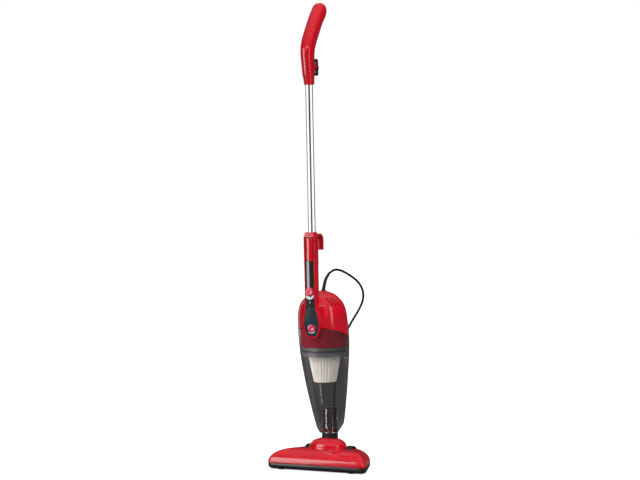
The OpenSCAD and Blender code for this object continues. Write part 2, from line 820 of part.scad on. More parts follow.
module impeller() {
    color([0.7, 0.7, 0.72]) unit() translate([0, motor_y, shroud_z + 3]) difference() {
        union() {
            cylinder(r = fan_r, h = 1.5);
            translate([0, 0, 12]) cylinder(r = fan_r, h = 1.5);
            cylinder(r = 7, h = 13.5);
            for (a = [0:45:315]) rotate([0, 0, a]) translate([22, 0, 0]) rotate([0, 0, 35])
                block([-14, -0.7, 1], [14, 0.7, 12.5]);
        }
        translate([0, 0, -1]) cylinder(r = shaft_r, h = 20);
        difference() {
            translate([0, 0, -1]) cylinder(r = 12, h = 3);
            translate([0, 0, -2]) cylinder(r = 7, h = 5);
        }
    }
}

module motor_can() {
    color(steel) unit() translate([0, motor_y, can_z]) difference() {
        cylinder(r = can_r, h = can_h);
        translate([0, 0, 2]) cylinder(r = can_r - 1.5, h = can_h - 4);
        translate([0, 0, -1]) cylinder(r = shaft_r + run_fit, h = can_h + 2);
        for (a = [0:60:300]) rotate([0, 0, a]) translate([can_r - 9, 0, -1]) cylinder(r = 3.5, h = can_h + 2);
        for (a = [90, 270]) rotate([0, 0, a]) translate([0, 0, can_h - 11]) x_cylinder(4, 9, 40);
    }
}

module rotor() {
    color(steel) unit() translate([0, motor_y, can_z]) {
        translate([0, 0, -20]) cylinder(r = shaft_r, h = can_h + 26);
        translate([0, 0, 8]) cylinder(r = can_r - 10, h = can_h - 28);
        translate([0, 0, can_h - 16]) cylinder(r = 8, h = 10);
    }
}

module motor_mount_front() {
    color(black) unit() translate([0, motor_y, can_z]) tube(can_r + 3, 3, 6);
}

module motor_mount_rear() {
    color(black) unit() translate([0, motor_y, can_z + can_h - 6]) tube(can_r + 3, 3, 6);
}

module carbon_brushes() {
    color([0.15, 0.15, 0.16]) unit() translate([0, motor_y, can_z + can_h - 11])
        for (a = [90, 270]) rotate([0, 0, a]) x_cylinder(3.9, 8.4, can_r - 0.5);
}

module exhaust_foam() {
    color(black) unit() translate([0, motor_y, can_z + can_h + 7.2]) tube(26, 12, 5);
}

// ---------- strain relief and cord ----------

relief_points = [[0, -2, 437], [1.5, 6.5, 461.5], [5, 21, 478]];

module strain_relief() {
    color(black) {
        sweep(smooth(relief_points, 4), 4.8, 12, 3.5);
        unit() translate([0, relief_foot[1], dome_top - 12]) cylinder(r = 5.1, h = 14);
    }
}

// Where the cord runs from the strain relief down behind the cleaner to the stored coil
cord_points = [relief_points[2], [9.5, 41, 485.5], [14, 58, 485], [20, 76, 480], [29, 96, 470], [38, 115, 457],
    [44, 129, 441], [45, 138, 423], [40, 143, 404], [31, 143, 385], [20, 139, 365], [9, 132, 343],
    [0, 125, 318], [-8, 119, 290], [-14, 115, 258], [-18, 112, 222], [-20, 110, 186], [-21, 108, 150],
    [-21, 107, 118], [-19, 106, 90], [-14, 106, 64], [-8, 108, 41], [-3, 113, 21], [0, 121, 9],
    [1, 130, 3.6], [1, 139, 3.1]];
coil_at = [-50, 140, 0];
coil_mean_r = 42;
coil_inner = coil_mean_r - coil_columns * cord_d / 2;
coil_outer = coil_mean_r + coil_columns * cord_d / 2;
coil_h = coil_layers * cord_d;
tail_y = coil_at[1] + coil_outer - cord_d / 2;
plug_x = -96;
plug_z = 6.6;
tail_points = [[coil_at[0] - 4, tail_y, coil_h - cord_d / 2], [-62, tail_y, 19], [-74, tail_y, 13.5],
    [-85, tail_y, 8.5], [plug_x, tail_y, plug_z]];

module cord_tube() {
    color(black) sweep(smooth(cord_points, 2), cord_d / 2, 10);
}

module cord_tail() {
    color(black) sweep(smooth(tail_points, 2), cord_d / 2, 10);
}

module cord_coil() {
    color(black) translate(coil_at) rotate_extrude() translate([coil_inner, 0]) square([coil_outer
        - coil_inner, coil_h]);
}

module cord_tie() {
    width = 9;
    color(slate) translate(coil_at) rotate([0, 0, 205]) difference() {
        block([coil_inner - 1.2, -width / 2, 0], [coil_outer + 1.2, width / 2, coil_h + 1.2]);
        rotate_extrude() translate([coil_inner, -1]) square([coil_outer - coil_inner, coil_h + 1]);
    }
}

module plug_body() {
    color(black) translate([plug_x, tail_y, plug_z]) difference() {
        union() {
            x_cylinder(5.5, -16, 0);
            hull() {
                x_cylinder(6, -18, -14);
                block([-44, -13, -6.5], [-40, 13, 6.5]);
            }
            block([-46, -13, -6.5], [-43.5, 13, 6.5]);
        }
        for (s = [-1, 1]) translate([0, 9.5 * s, 0]) x_cylinder(2, -50, -34);
    }
}

module plug_pins() {
    color(steel) translate([plug_x, tail_y, plug_z]) for (s = [-1, 1]) translate([0, 9.5 * s, 0])
        x_cylinder(2, -65, -34);
}

// ---------- rod and handle ----------

rod_top = grip_top + rod_free + rod_in_handle;
handle_low = grip_top + rod_free;

// Rows of distance behind the rod's axis, height above the handle's foot, half width and half depth
handle_shape = [[2, 0, 11.8, 12.6], [0, 14, 12.9, 14.2], [-1.5, 28, 14.2, 16], [-3, 45, 14.8, 17],
    [-4.5, 64, 15.4, 18], [-3.4, 82, 16.2, 18.5], [3.5, 99, 16.8, 18.5], [14.5, 115, 17, 18.5],
    [25.5, 130, 17, 18.5], [37.5, 146, 17, 18.5], [50, 161, 17.2, 18.5], [61.5, 172.5, 17.4, 18.8],
    [69.5, 184, 16.4, 17.6], [73.5, 192, 12.4, 13.4], [75.3, 196.6, 6, 6.6]];
handle_rows = smooth(handle_shape, 2);
hook_z = handle_low + 41;
hook_out = 45;
handle_screw_spots = [[-rod_y - 3.6, handle_low + 74], [-rod_y + 36, handle_low + 144]];

module grip_sweep(inset) {
    m = len(handle_rows);
    loft([for (k = [0:m - 1]) if (handle_rows[k][2] > inset + 2) let (
        h = handle_rows[k],
        d = handle_rows[min(k + 1, m - 1)] - handle_rows[max(k - 1, 0)],
        n = norm([d[0], d[1]]),
        ty = d[0] / n,
        tz = d[1] / n)
        [for (i = [0:19]) let (a = 360 * i / 20, x = (h[2] - inset) * cos(a), q = (h[3] - inset) * sin(a))
            [x, -rod_y + h[0] + q * tz, handle_low + h[1] - q * ty]]]);
}

module handle() {
    difference() {
        union() {
            difference() {
                grip_sweep(0);
                difference() {
                    translate([0, 0, -0.01]) grip_sweep(handle_wall);
                    translate([0, -rod_y, handle_low]) cylinder(r = rod_r + 2, h = rod_in_handle + 3);
                    for (s = handle_screw_spots) translate([0, s[0], s[1]]) x_cylinder(boss_r, -40, 40);
                }
            }
            translate([0, 0, hook_z]) y_cylinder(7, -rod_y + 12, -hook_out - 0.4);
        }
        translate([0, -rod_y, handle_low - 5]) cylinder(r = rod_r + 0.05, h = rod_in_handle + 5);
        translate([0, 0, hook_z]) y_cylinder(screw_r + screw_fit, -rod_y + 16, 0);
        for (s = handle_screw_spots) translate([0, s[0], s[1]]) {
            x_cylinder(screw_r + screw_fit, -60, 9.5);
            x_cylinder(3.2, -60, -7.9);
        }
    }
}

module handle_left() {
    color(red) unit() intersection() {
        handle();
        block([-big, -big, 0], [0, big, 3 * big]);
    }
}

module handle_right() {
    color(red) unit() intersection() {
        handle();
        block([0, -big, 0], [big, big, 3 * big]);
    }
}

module handle_screws() {
    color(steel) unit() for (s = handle_screw_spots) translate([0, s[0], s[1]]) {
        x_cylinder(screw_r, -8, 9);
        x_cylinder(2.9, -10.2, -7.9);
    }
}

module housing_screws() {
    color(steel) unit() for (s = screw_spots) translate([0, s[0], s[1]]) {
        x_cylinder(screw_r, -10, 12);
        x_cylinder(2.9, -12.2, -9.9);
    }
}

module rod_tube() {
    color(steel) unit() translate([0, -rod_y, rod_low + 0.4]) tube(rod_r, rod_wall, rod_top - rod_low - 0.8);
}

module upper_cord_hook() {
    color(black) unit() translate([0, -hook_out, hook_z]) difference() {
        union() {
            y_cylinder(8.5, 0, 5);
            block([-7, 0, -18], [7, 4.6, 18]);
            for (s = [-1, 1]) block([-7, -11, 18 * s - 2], [7, 4.6, 18 * s + 2]);
        }
        y_cylinder(screw_r + 1 + run_fit, -1, 6);
        y_cylinder(4.2, 2.6, 6);
    }
}

module hook_screw() {
    color(steel) unit() translate([0, -hook_out, hook_z]) {
        y_cylinder(screw_r, -16, 0.2);
        y_cylinder(screw_r + 1, -0.4, 3);
        y_cylinder(3.8, 3, 4.6);
    }
}

head_base();
head_cover();
neck_cover();
air_duct();
front_brush();
rear_lint_strip();
wheel_left();
wheel_right();
wheel_axle_left();
wheel_axle_right();
roller_left();
roller_right();
roller_pins();
pivot_caps();
head_screws();
neck_socket();
neck_seal();
neck_latch();
dust_cup();
cup_duct();
inlet_flap();
filter_frame();
cup_seal();
pleated_filter();
filter_cap();
housing_left();
housing_right();
grip_inlay();
lower_panel();
power_knob();
switch_body();
cup_release_button();
cup_release_spring();
rod_release_button();
rod_release_spring();
inlet_grille();
fan_shroud();
impeller();
motor_can();
rotor();
motor_mount_front();
motor_mount_rear();
carbon_brushes();
exhaust_foam();
strain_relief();
housing_screws();
rod_tube();
handle_left();
handle_right();
handle_screws();
upper_cord_hook();
hook_screw();
cord_tube();
cord_tail();
cord_coil();
cord_tie();
plug_body();
plug_pins();
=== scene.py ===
"""The upright stick vacuum cleaner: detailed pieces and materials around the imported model."""
import json
import math

import bmesh
import bpy
import numpy as np
from mathutils import Matrix, Vector


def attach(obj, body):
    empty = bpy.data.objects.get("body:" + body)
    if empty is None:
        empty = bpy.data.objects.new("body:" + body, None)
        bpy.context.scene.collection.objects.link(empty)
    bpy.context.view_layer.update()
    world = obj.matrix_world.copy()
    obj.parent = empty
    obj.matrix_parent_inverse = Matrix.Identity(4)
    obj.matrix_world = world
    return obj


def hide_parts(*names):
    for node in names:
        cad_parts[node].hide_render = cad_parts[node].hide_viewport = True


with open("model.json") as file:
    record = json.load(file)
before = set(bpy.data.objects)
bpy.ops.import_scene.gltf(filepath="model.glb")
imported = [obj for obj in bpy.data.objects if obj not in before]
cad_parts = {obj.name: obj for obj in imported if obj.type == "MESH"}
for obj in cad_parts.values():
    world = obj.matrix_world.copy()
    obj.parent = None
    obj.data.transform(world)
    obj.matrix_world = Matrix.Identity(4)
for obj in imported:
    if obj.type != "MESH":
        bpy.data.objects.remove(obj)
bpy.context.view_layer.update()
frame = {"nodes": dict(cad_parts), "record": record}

MM = 0.001

# ---------- the hand unit's frame, and the sizes that the CAD model gives it ----------

LEAN = math.radians(2.7)
PIVOT = Vector((0, 38, 40))
WORLD = Matrix.Scale(MM, 4)
UNIT = WORLD @ Matrix.Translation(PIVOT) @ Matrix.Rotation(LEAN, 4, "X")

CUP_FLOOR = 48
BODY_H = 349
BODY_R = 62
BODY_BACK = 39.5
DOME_TOP = CUP_FLOOR + BODY_H
CUP_WALL = 2.4
SHELL_WALL = 2.6
JOINT = Vector((0, -24, 291))
JOINT_SLOPE = math.radians(18.9)
JOINT_GAP = 0.25
ROD_Y = -80.5
ROD_R = 9
FRONT_Y = ROD_Y - 19
GRIP_HALF = 14.5
GRIP_TOP = 540
CAP_TOP = 536.5
INLAY_LOW = 292
INLAY_TOP = 531.5
INLAY_T = 3
PANEL_SEAM = 361
BUTTON_LOW = 474.3
BUTTON_TOP = 529
KNOB_Z = 400
CUP_BUTTON_Z = 312
HANDLE_LOW = GRIP_TOP + 357
HOOK_Z = HANDLE_LOW + 41
HOOK_OUT = -45


# ---------- camera ----------

def make_camera():
    data = bpy.data.cameras.new("camera")
    data.lens = 92.25
    data.sensor_width = 36
    data.clip_end = 100
    cam = bpy.data.objects.new("camera", data)
    bpy.context.scene.collection.objects.link(cam)
    turn = math.radians(25)
    distance = 4.0
    aside = 0.0093
    right = Vector((math.cos(turn), math.sin(turn), 0))
    toward = Vector((-math.sin(turn), math.cos(turn), 0))
    cam.location = -distance * toward - aside * right + Vector((0, 0, 0.559))
    cam.rotation_euler = toward.to_track_quat("-Z", "Y").to_euler()
    bpy.context.scene.camera = cam


make_camera()


# ---------- materials ----------

class Graph:
    """A material's node tree, with short ways to add and join nodes."""

    def __init__(self, name):
        self.mat = bpy.data.materials.new(name)
        self.mat.use_nodes = True
        self.nodes = self.mat.node_tree.nodes
        self.links = self.mat.node_tree.links
        self.shader = self.nodes["Principled BSDF"]
        self.coords = self.add("ShaderNodeTexCoord").outputs["Object"]

    def add(self, kind, **values):
        node = self.nodes.new(kind)
        for key, value in values.items():
            setattr(node, key, value)
        return node

    def set(self, socket, value):
        self.shader.inputs[socket].default_value = value

    def noise(self, scale, detail=3, stretch=None):
        node = self.add("ShaderNodeTexNoise")
        node.inputs["Scale"].default_value = scale
        node.inputs["Detail"].default_value = detail
        source = self.coords
        if stretch:
            mapping = self.add("ShaderNodeMapping")
            mapping.inputs["Scale"].default_value = stretch
            self.links.new(source, mapping.inputs["Vector"])
            source = mapping.outputs["Vector"]
        self.links.new(source, node.inputs["Vector"])
        return node.outputs["Fac"]

    def ramp(self, source, stops):
        node = self.add("ShaderNodeValToRGB")
        node.color_ramp.elements[0].position = stops[0][0]
        node.color_ramp.elements[0].color = (*stops[0][1], 1)
        node.color_ramp.elements[1].position = stops[-1][0]
        node.color_ramp.elements[1].color = (*stops[-1][1], 1)
        for place, colour in stops[1:-1]:
            node.color_ramp.elements.new(place).color = (*colour, 1)
        self.links.new(source, node.inputs["Fac"])
        return node.outputs["Color"]

    def spread(self, source, low, high):
        node = self.add("ShaderNodeMapRange")
        node.inputs["From Min"].default_value = 0.3
        node.inputs["From Max"].default_value = 0.7
        node.inputs["To Min"].default_value = low
        node.inputs["To Max"].default_value = high
        self.links.new(source, node.inputs["Value"])
        return node.outputs["Result"]

    def bump(self, source, strength, depth):
        node = self.add("ShaderNodeBump")
        node.inputs["Strength"].default_value = strength
        node.inputs["Distance"].default_value = depth
        self.links.new(source, node.inputs["Height"])
        self.links.new(node.outputs["Normal"], self.shader.inputs["Normal"])

    def blend(self, share, low, high):
        """Mixes a colour socket or value into another by a share."""
        node = self.add("ShaderNodeMix", data_type="RGBA")
        self.links.new(share, node.inputs["Factor"])
        for name, value in (("A", low), ("B", high)):
            socket = [i for i in node.inputs if i.name == name and i.type == "RGBA"][0]
            if isinstance(value, tuple):
                socket.default_value = (*value, 1)
            else:
                self.links.new(value, socket)
        return [o for o in node.outputs if o.type == "RGBA"][0]

    def colour(self, source):
        self.links.new(source, self.shader.inputs["Base Color"])

    def rough(self, source):
        self.links.new(source, self.shader.inputs["Roughness"])


def moulded(name, dark, light, rough, coat, grain, depth):
    """Moulded plastic or rubber: slow colour drift, uneven gloss and a fine surface grain."""
    g = Graph(name)
    g.colour(g.ramp(g.noise(14, 2), [(0.3, dark), (0.7, light)]))
    g.rough(g.spread(g.noise(60, 4), *rough))
    g.bump(g.noise(grain, 2), 0.25, depth)
    g.set("Coat Weight", coat)
    g.set("Coat Roughness", 0.03)
    return g.mat


def clear_smoke():
    """Smoked clear plastic: deeper where the wall is seen edge on, and darker at the back wall as painted
    shade that dims the view through the cup.
    """
    g = Graph("smoke_clear")
    split = g.add("ShaderNodeSeparateXYZ")
    g.links.new(g.coords, split.inputs["Vector"])
    depth = g.add("ShaderNodeMapRange", interpolation_type="SMOOTHSTEP")
    for name, value in (("From Min", 0.024), ("From Max", 0.048), ("To Min", 0.0), ("To Max", 1.0)):
        depth.inputs[name].default_value = value
    g.links.new(split.outputs["Y"], depth.inputs["Value"])
    cloud = g.ramp(g.noise(9, 2), [(0.3, (0.86, 0.83, 0.83)), (0.7, (0.91, 0.89, 0.89))])
    # painted shade: the back half of the cup wall is tinted darker than the front
    back = g.blend(depth.outputs["Result"], cloud, (0.40, 0.39, 0.395))
    edge = g.add("ShaderNodeLayerWeight")
    edge.inputs["Blend"].default_value = 0.5
    rim = g.ramp(edge.outputs["Facing"], [(0.5, (0, 0, 0)), (0.94, (1, 1, 1))])
    g.colour(g.blend(rim, back, (0.10, 0.085, 0.09)))
    g.rough(g.spread(g.noise(40, 3), 0.02, 0.05))
    g.bump(g.noise(26, 1), 0.05, 0.0004)
    g.set("Transmission Weight", 1.0)
    g.set("IOR", 1.3)
    g.set("Coat Weight", 0.5)
    g.set("Coat Roughness", 0.02)
    return g.mat


def polished_steel():
    g = Graph("polished_steel")
    g.colour(g.ramp(g.noise(20, 3, (1, 1, 0.1)), [(0.3, (0.80, 0.81, 0.83)), (0.7, (0.88, 0.88, 0.89))]))
    g.set("Metallic", 1.0)
    g.rough(g.spread(g.noise(300, 3, (1, 1, 0.02)), 0.03, 0.08))
    g.bump(g.noise(900, 2, (1, 1, 0.02)), 0.02, 0.00005)
    return g.mat


def satin_metal(name, dark, light):
    g = Graph(name)
    g.colour(g.ramp(g.noise(80, 3), [(0.3, dark), (0.7, light)]))
    g.set("Metallic", 1.0)
    g.rough(g.spread(g.noise(240, 4), 0.22, 0.38))
    g.bump(g.noise(1400, 2), 0.1, 0.00008)
    return g.mat


def filter_cloth():
    g = Graph("filter_cloth")
    g.colour(g.ramp(g.noise(70, 6), [(0.3, (0.80, 0.77, 0.69)), (0.7, (0.94, 0.93, 0.88))]))
    g.set("Roughness", 0.85)
    g.set("Sheen Weight", 0.3)
    g.bump(g.noise(900, 4), 0.5, 0.0003)
    return g.mat


def pile(name, dark, light):
    g = Graph(name)
    g.colour(g.ramp(g.noise(700, 3, (1, 1, 0.1)), [(0.3, dark), (0.7, light)]))
    g.set("Roughness", 0.9)
    g.set("Sheen Weight", 0.5)
    g.bump(g.noise(1500, 2, (1, 1, 0.1)), 0.8, 0.0006)
    return g.mat


RED = moulded("gloss_red", (0.56, 0.002, 0.012), (0.64, 0.003, 0.017), (0.14, 0.22), 0.3, 220, 0.00006)
# a darker copy of the gloss red: painted shade for the housing skirt seen inside the smoked cup
SHADED_RED = moulded("red_painted_shade", (0.20, 0.001, 0.012), (0.27, 0.002, 0.019), (0.16, 0.26), 0.3, 220, 0.00006)
PINK_RED = moulded("button_red", (0.66, 0.012, 0.075), (0.78, 0.020, 0.110), (0.14, 0.22), 0.6, 260, 0.00006)
BLACK = moulded("satin_black", (0.008, 0.008, 0.008), (0.015, 0.015, 0.016), (0.30, 0.42), 0.15, 900, 0.00012)
GLOSS_BLACK = moulded("gloss_black", (0.01, 0.011, 0.012), (0.02, 0.022, 0.024), (0.1, 0.16), 0.8, 260, 4e-5)
SLATE = moulded("gloss_slate", (0.010, 0.028, 0.038), (0.020, 0.045, 0.058), (0.14, 0.22), 0.6, 300, 0.00005)
FRAME_GREY = moulded("frame_grey", (0.09, 0.09, 0.094), (0.13, 0.13, 0.134), (0.35, 0.45), 0.1, 600, 0.0001)
# pale plastic for the switch lamp, and a painted highlight on the crescent seats under the buttons
PALE_AND_HIGHLIGHT = moulded("pale_trim_and_highlight", (0.62, 0.63, 0.64), (0.74, 0.75, 0.76), (0.20, 0.30), 0.4, 400, 0.00005)
IVORY = moulded("ivory_plastic", (0.70, 0.66, 0.58), (0.80, 0.77, 0.70), (0.40, 0.50), 0.1, 500, 0.0001)
RUBBER = moulded("black_rubber", (0.012, 0.012, 0.012), (0.024, 0.024, 0.025), (0.55, 0.7), 0, 1200, 0.0003)
CORD_RUBBER = moulded("cord_rubber", (0.01, 0.01, 0.01), (0.018, 0.018, 0.019), (0.35, 0.48), 0.1, 800, 1e-4)
SMOKE = clear_smoke()
CHROME = polished_steel()
STEEL = satin_metal("satin_steel", (0.45, 0.45, 0.47), (0.62, 0.62, 0.64))
ALLOY = satin_metal("light_alloy", (0.66, 0.66, 0.68), (0.80, 0.80, 0.81))
BRASS = satin_metal("bright_brass", (0.62, 0.48, 0.22), (0.78, 0.64, 0.34))
CARBON = moulded("carbon", (0.02, 0.02, 0.02), (0.05, 0.05, 0.05), (0.55, 0.7), 0.0, 900, 0.0002)
CLOTH = filter_cloth()
PILE = pile("brush_pile", (0.10, 0.006, 0.012), (0.26, 0.02, 0.04))

CAD_MATERIALS = {
    "black_plastic": BLACK, "red_plastic": RED, "smoke_plastic": SMOKE, "slate_plastic": FRAME_GREY,
    "brush_fibre": PILE, "tyre_rubber": RUBBER, "soft_rubber": RUBBER, "cord_rubber": CORD_RUBBER,
    "filter_paper": CLOTH, "cap_plastic": IVORY, "chrome_tube": CHROME, "steel_parts": STEEL,
    "light_metal": ALLOY, "brass_parts": BRASS, "carbon": CARBON,
}


def paint_cad_nodes():
    for part in frame["record"]["subparts"]:
        mesh = frame["nodes"][part["node"]].data
        mesh.materials.clear()
        mesh.materials.append(CAD_MATERIALS[part["material_slot"]])


paint_cad_nodes()


# ---------- mesh helpers ----------

def smooth_rows(rows, steps):
    """Rows of numbers with Catmull-Rom steps between each two."""
    out = []
    last = len(rows) - 1
    for i in range(last):
        p0, p1, p2, p3 = rows[max(i - 1, 0)], rows[i], rows[i + 1], rows[min(i + 2, last)]
        for k in range(steps):
            t = k / steps
            out.append([0.5 * (2 * b + (c - a) * t + (2 * a - 5 * b + 4 * c - d) * t * t
                               + (3 * b - a - 3 * c + d) * t ** 3)
                        for a, b, c, d in zip(p0, p1, p2, p3)])
    return out + [list(rows[last])]


def look_up(z, rows, column):
    return float(np.interp(z, [r[0] for r in rows], [r[column] for r in rows]))


def add_loft(bm, rings, low_cap=True, high_cap=True, closed=False):
    """Adds a skin over rings with the same number of points."""
    loops = [[bm.verts.new(p) for p in ring] for ring in rings]
    n = len(loops[0])
    pairs = list(zip(loops, loops[1:]))
    if closed:
        pairs.append((loops[-1], loops[0]))
    for a, b in pairs:
        for i in range(n):
            j = (i + 1) % n
            bm.faces.new((a[i], a[j], b[j], b[i]))
    if low_cap and not closed:
        bm.faces.new(loops[0][::-1])
    if high_cap and not closed:
        bm.faces.new(loops[-1])


def piece(name, bm, material, body, slot, *nodes, place=UNIT, sharp=35, bevel=0):
    """Makes an object of a bmesh, in metres and in the row frame, and rides it on its body."""
    bmesh.ops.recalc_face_normals(bm, faces=bm.faces)
    bm.transform(place)
    limit = math.radians(sharp)
    for face in bm.faces:
        face.smooth = True
    for edge in bm.edges:
        edge.smooth = not edge.is_manifold or edge.calc_face_angle(0) < limit
    mesh = bpy.data.meshes.new(name)
    bm.to_mesh(mesh)
    bm.free()
    mesh.materials.append(material)
    obj = bpy.data.objects.new(name, mesh)
    bpy.context.scene.collection.objects.link(obj)
    if bevel:
        mod = obj.modifiers.new("edges", "BEVEL")
        mod.width = bevel * MM
        mod.segments = 3
        mod.limit_method = "ANGLE"
        mod.angle_limit = limit
        mod.harden_normals = True
    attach(obj, body)
    if nodes:
        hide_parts(*nodes)
    return obj


def bake_cut(obj, cutters, place=UNIT):
    """Cuts the closed bmeshes in cutters out of obj's mesh for good."""
    for bm in cutters:
        bmesh.ops.recalc_face_normals(bm, faces=bm.faces)
        bm.transform(place)
        mesh = bpy.data.meshes.new("cutter")
        bm.to_mesh(mesh)
        bm.free()
        tool = bpy.data.objects.new("cutter", mesh)
        bpy.context.scene.collection.objects.link(tool)
        mod = obj.modifiers.new("cut", "BOOLEAN")
        mod.operation = "DIFFERENCE"
        mod.solver = "EXACT"
        mod.object = tool
        obj.modifiers.move(len(obj.modifiers) - 1, 0)
        others = [(m, m.show_viewport) for m in obj.modifiers if m != mod]
        for m, _ in others:
            m.show_viewport = False
        bpy.context.view_layer.update()
        cut = bpy.data.meshes.new_from_object(obj.evaluated_get(bpy.context.evaluated_depsgraph_get()))
        obj.modifiers.remove(mod)
        for m, shown in others:
            m.show_viewport = shown
        old = obj.data
        cut.name = old.name
        obj.data = cut
        bpy.data.meshes.remove(old)
        bpy.data.objects.remove(tool)
        bpy.data.meshes.remove(mesh)
    mark_sharp(obj.data)


def mark_sharp(mesh, sharp=35):
    bm = bmesh.new()
    bm.from_mesh(mesh)
    for face in bm.faces:
        face.smooth = True
    for edge in bm.edges:
        edge.smooth = not edge.is_manifold or edge.calc_face_angle(0) < math.radians(sharp)
    bm.to_mesh(mesh)
    bm.free()


def box_bm(low, high, turn=None):
    bm = bmesh.new()
    bmesh.ops.create_cube(bm, size=1)
    low, high = Vector(low), Vector(high)
    size = high - low
    bm.transform(Matrix.Translation((low + high) / 2) @ Matrix.Diagonal((*size, 1)))
    if turn:
        bm.transform(turn)
    return bm


def turned_rings(profile, place, count, squash):
    """Rings round a local Z axis from (radius, height) points; a radius of 0 becomes a tiny one."""
    turns = [2 * math.pi * i / count for i in range(count)]
    rings = []
    for radius, h in profile:
        r = max(radius, 0.01)
        rings.append([place @ Vector((r * math.cos(a), squash * r * math.sin(a), h)) for a in turns])
    return rings


def lathe(bm, profile, place, count=64, squash=1.0):
    """A turned solid. Radii of 0 close the ends."""
    add_loft(bm, turned_rings(profile, place, count, squash))


def turned_tube(bm, profile, place=Matrix(), count=96, squash=1.0):
    """A turned solid with a hole through it: the profile goes all the way round its section."""
    add_loft(bm, turned_rings(profile, place, count, squash), closed=True)


def sweep(bm, line, radius, count=16):
    """A round bar along points; radius is a number or a function of the share of the way."""
    line = [Vector(p) for p in line]
    rings = []
    side = Vector((1, 0, 0))
    last = len(line) - 1
    for k, p in enumerate(line):
        t = (line[min(k + 1, last)] - line[max(k - 1, 0)]).normalized()
        side = (side - side.dot(t) * t).normalized()
        up = t.cross(side)
        r = radius(k / last) if callable(radius) else radius
        rings.append([p + r * (math.cos(2 * math.pi * i / count) * side
                               + math.sin(2 * math.pi * i / count) * up) for i in range(count)])
    add_loft(bm, rings)


def facing(x, y, z, axis):
    """A frame at a place with its Z axis along axis."""
    return Matrix.Translation((x, y, z)) @ Vector(axis).to_track_quat("Z", "Y").to_matrix().to_4x4()


def slab(bm, outline, low, high, axis="X"):
    """A flat outline of (a, b) points between two heights along an axis: (y, z) for X, (x, z) for Y."""
    def at(p, h):
        return Vector((h, p[0], p[1])) if axis == "X" else Vector((p[0], h, p[1]))
    add_loft(bm, [[at(p, low) for p in outline], [at(p, high) for p in outline]])


def round_corners(points, radius, steps=5):
    """An outline with each corner as an arc; a radius for each point, or one for all."""
    radii = radius if isinstance(radius, (list, tuple)) else [radius] * len(points)
    out = []
    n = len(points)
    for i, r in enumerate(radii):
        p = Vector(points[i])
        a = (Vector(points[i - 1]) - p).normalized()
        b = (Vector(points[(i + 1) % n]) - p).normalized()
        if r <= 0:
            out.append(tuple(p))
            continue
        half = a.angle(b) / 2
        reach = r / math.tan(half)
        centre = p + (a + b).normalized() * (r / math.sin(half))
        start, end = p + a * reach - centre, p + b * reach - centre
        sweep_angle = start.angle_signed(end)
        for k in range(steps + 1):
            t = -sweep_angle * k / steps
            out.append((centre.x + start.x * math.cos(t) - start.y * math.sin(t),
                        centre.y + start.x * math.sin(t) + start.y * math.cos(t)))
    return out


# ---------- cord ----------

CORD_D = 6
CORD_POINTS = [
    (5, 21, 478), (9.5, 41, 485.5), (14, 58, 485), (20, 76, 480), (29, 96, 470), (38, 115, 457),
    (44, 129, 441), (45, 138, 423), (40, 143, 404), (31, 143, 385), (20, 139, 365), (9, 132, 343),
    (0, 125, 318), (-8, 119, 290), (-14, 115, 258), (-18, 112, 222), (-20, 110, 186), (-21, 108, 150),
    (-21, 107, 118), (-19, 106, 90), (-14, 106, 64), (-8, 108, 41), (-3, 113, 21), (0, 121, 9),
    (1, 130, 3.6),
]
COIL_AT = (-50, 140)
COIL_COLUMNS = 4
COIL_LAYERS = 4
COIL_MEAN_R = 42
TAIL_POINTS = [(-62, 191, 19), (-74, 191, 13.5), (-85, 191, 8.5), (-96, 191, 6.6)]


def coil_points():
    """Turns that lie a diameter apart: inward on one layer, outward on the next."""
    steps = 40
    outer = COIL_MEAN_R + (COIL_COLUMNS - 1) * CORD_D / 2
    spots = []
    for layer in range(COIL_LAYERS):
        columns = range(COIL_COLUMNS) if layer % 2 == 0 else reversed(range(COIL_COLUMNS))
        for column in columns:
            spots.append((outer - column * CORD_D, (layer + 0.5) * CORD_D + 0.05))
    spots.append(spots[-1])
    out = []
    for k in range(int((len(spots) - 1) * steps + steps / 4) + 1):
        turn, share = divmod(k / steps, 1)
        here, after = spots[int(turn)], spots[min(int(turn) + 1, len(spots) - 1)]
        ease = max(0, (share - 0.8) / 0.2)
        ease = ease * ease * (3 - 2 * ease)
        r = here[0] + (after[0] - here[0]) * ease
        z = here[1] + (after[1] - here[1]) * ease
        a = 2 * math.pi * share
        out.append((COIL_AT[0] + r * math.cos(a), COIL_AT[1] + r * math.sin(a), z))
    return out


def make_cord():
    free = smooth_rows(CORD_POINTS, 4)
    tail = smooth_rows(TAIL_POINTS, 4)
    points = free + coil_points() + tail
    data = bpy.data.curves.new("supply_cord", "CURVE")
    data.dimensions = "3D"
    data.bevel_depth = CORD_D / 2 * MM
    data.bevel_resolution = 5
    data.use_fill_caps = True
    line = data.splines.new("POLY")
    line.points.add(len(points) - 1)
    for spot, p in zip(line.points, points):
        spot.co = (p[0] * MM, p[1] * MM, p[2] * MM, 1)
    line.use_smooth = True
    data.materials.append(CORD_RUBBER)
    obj = bpy.data.objects.new("supply_cord", data)
    bpy.context.scene.collection.objects.link(obj)
    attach(obj, "housing")
    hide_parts("cord_tube", "cord_tail", "cord_coil")
    return obj


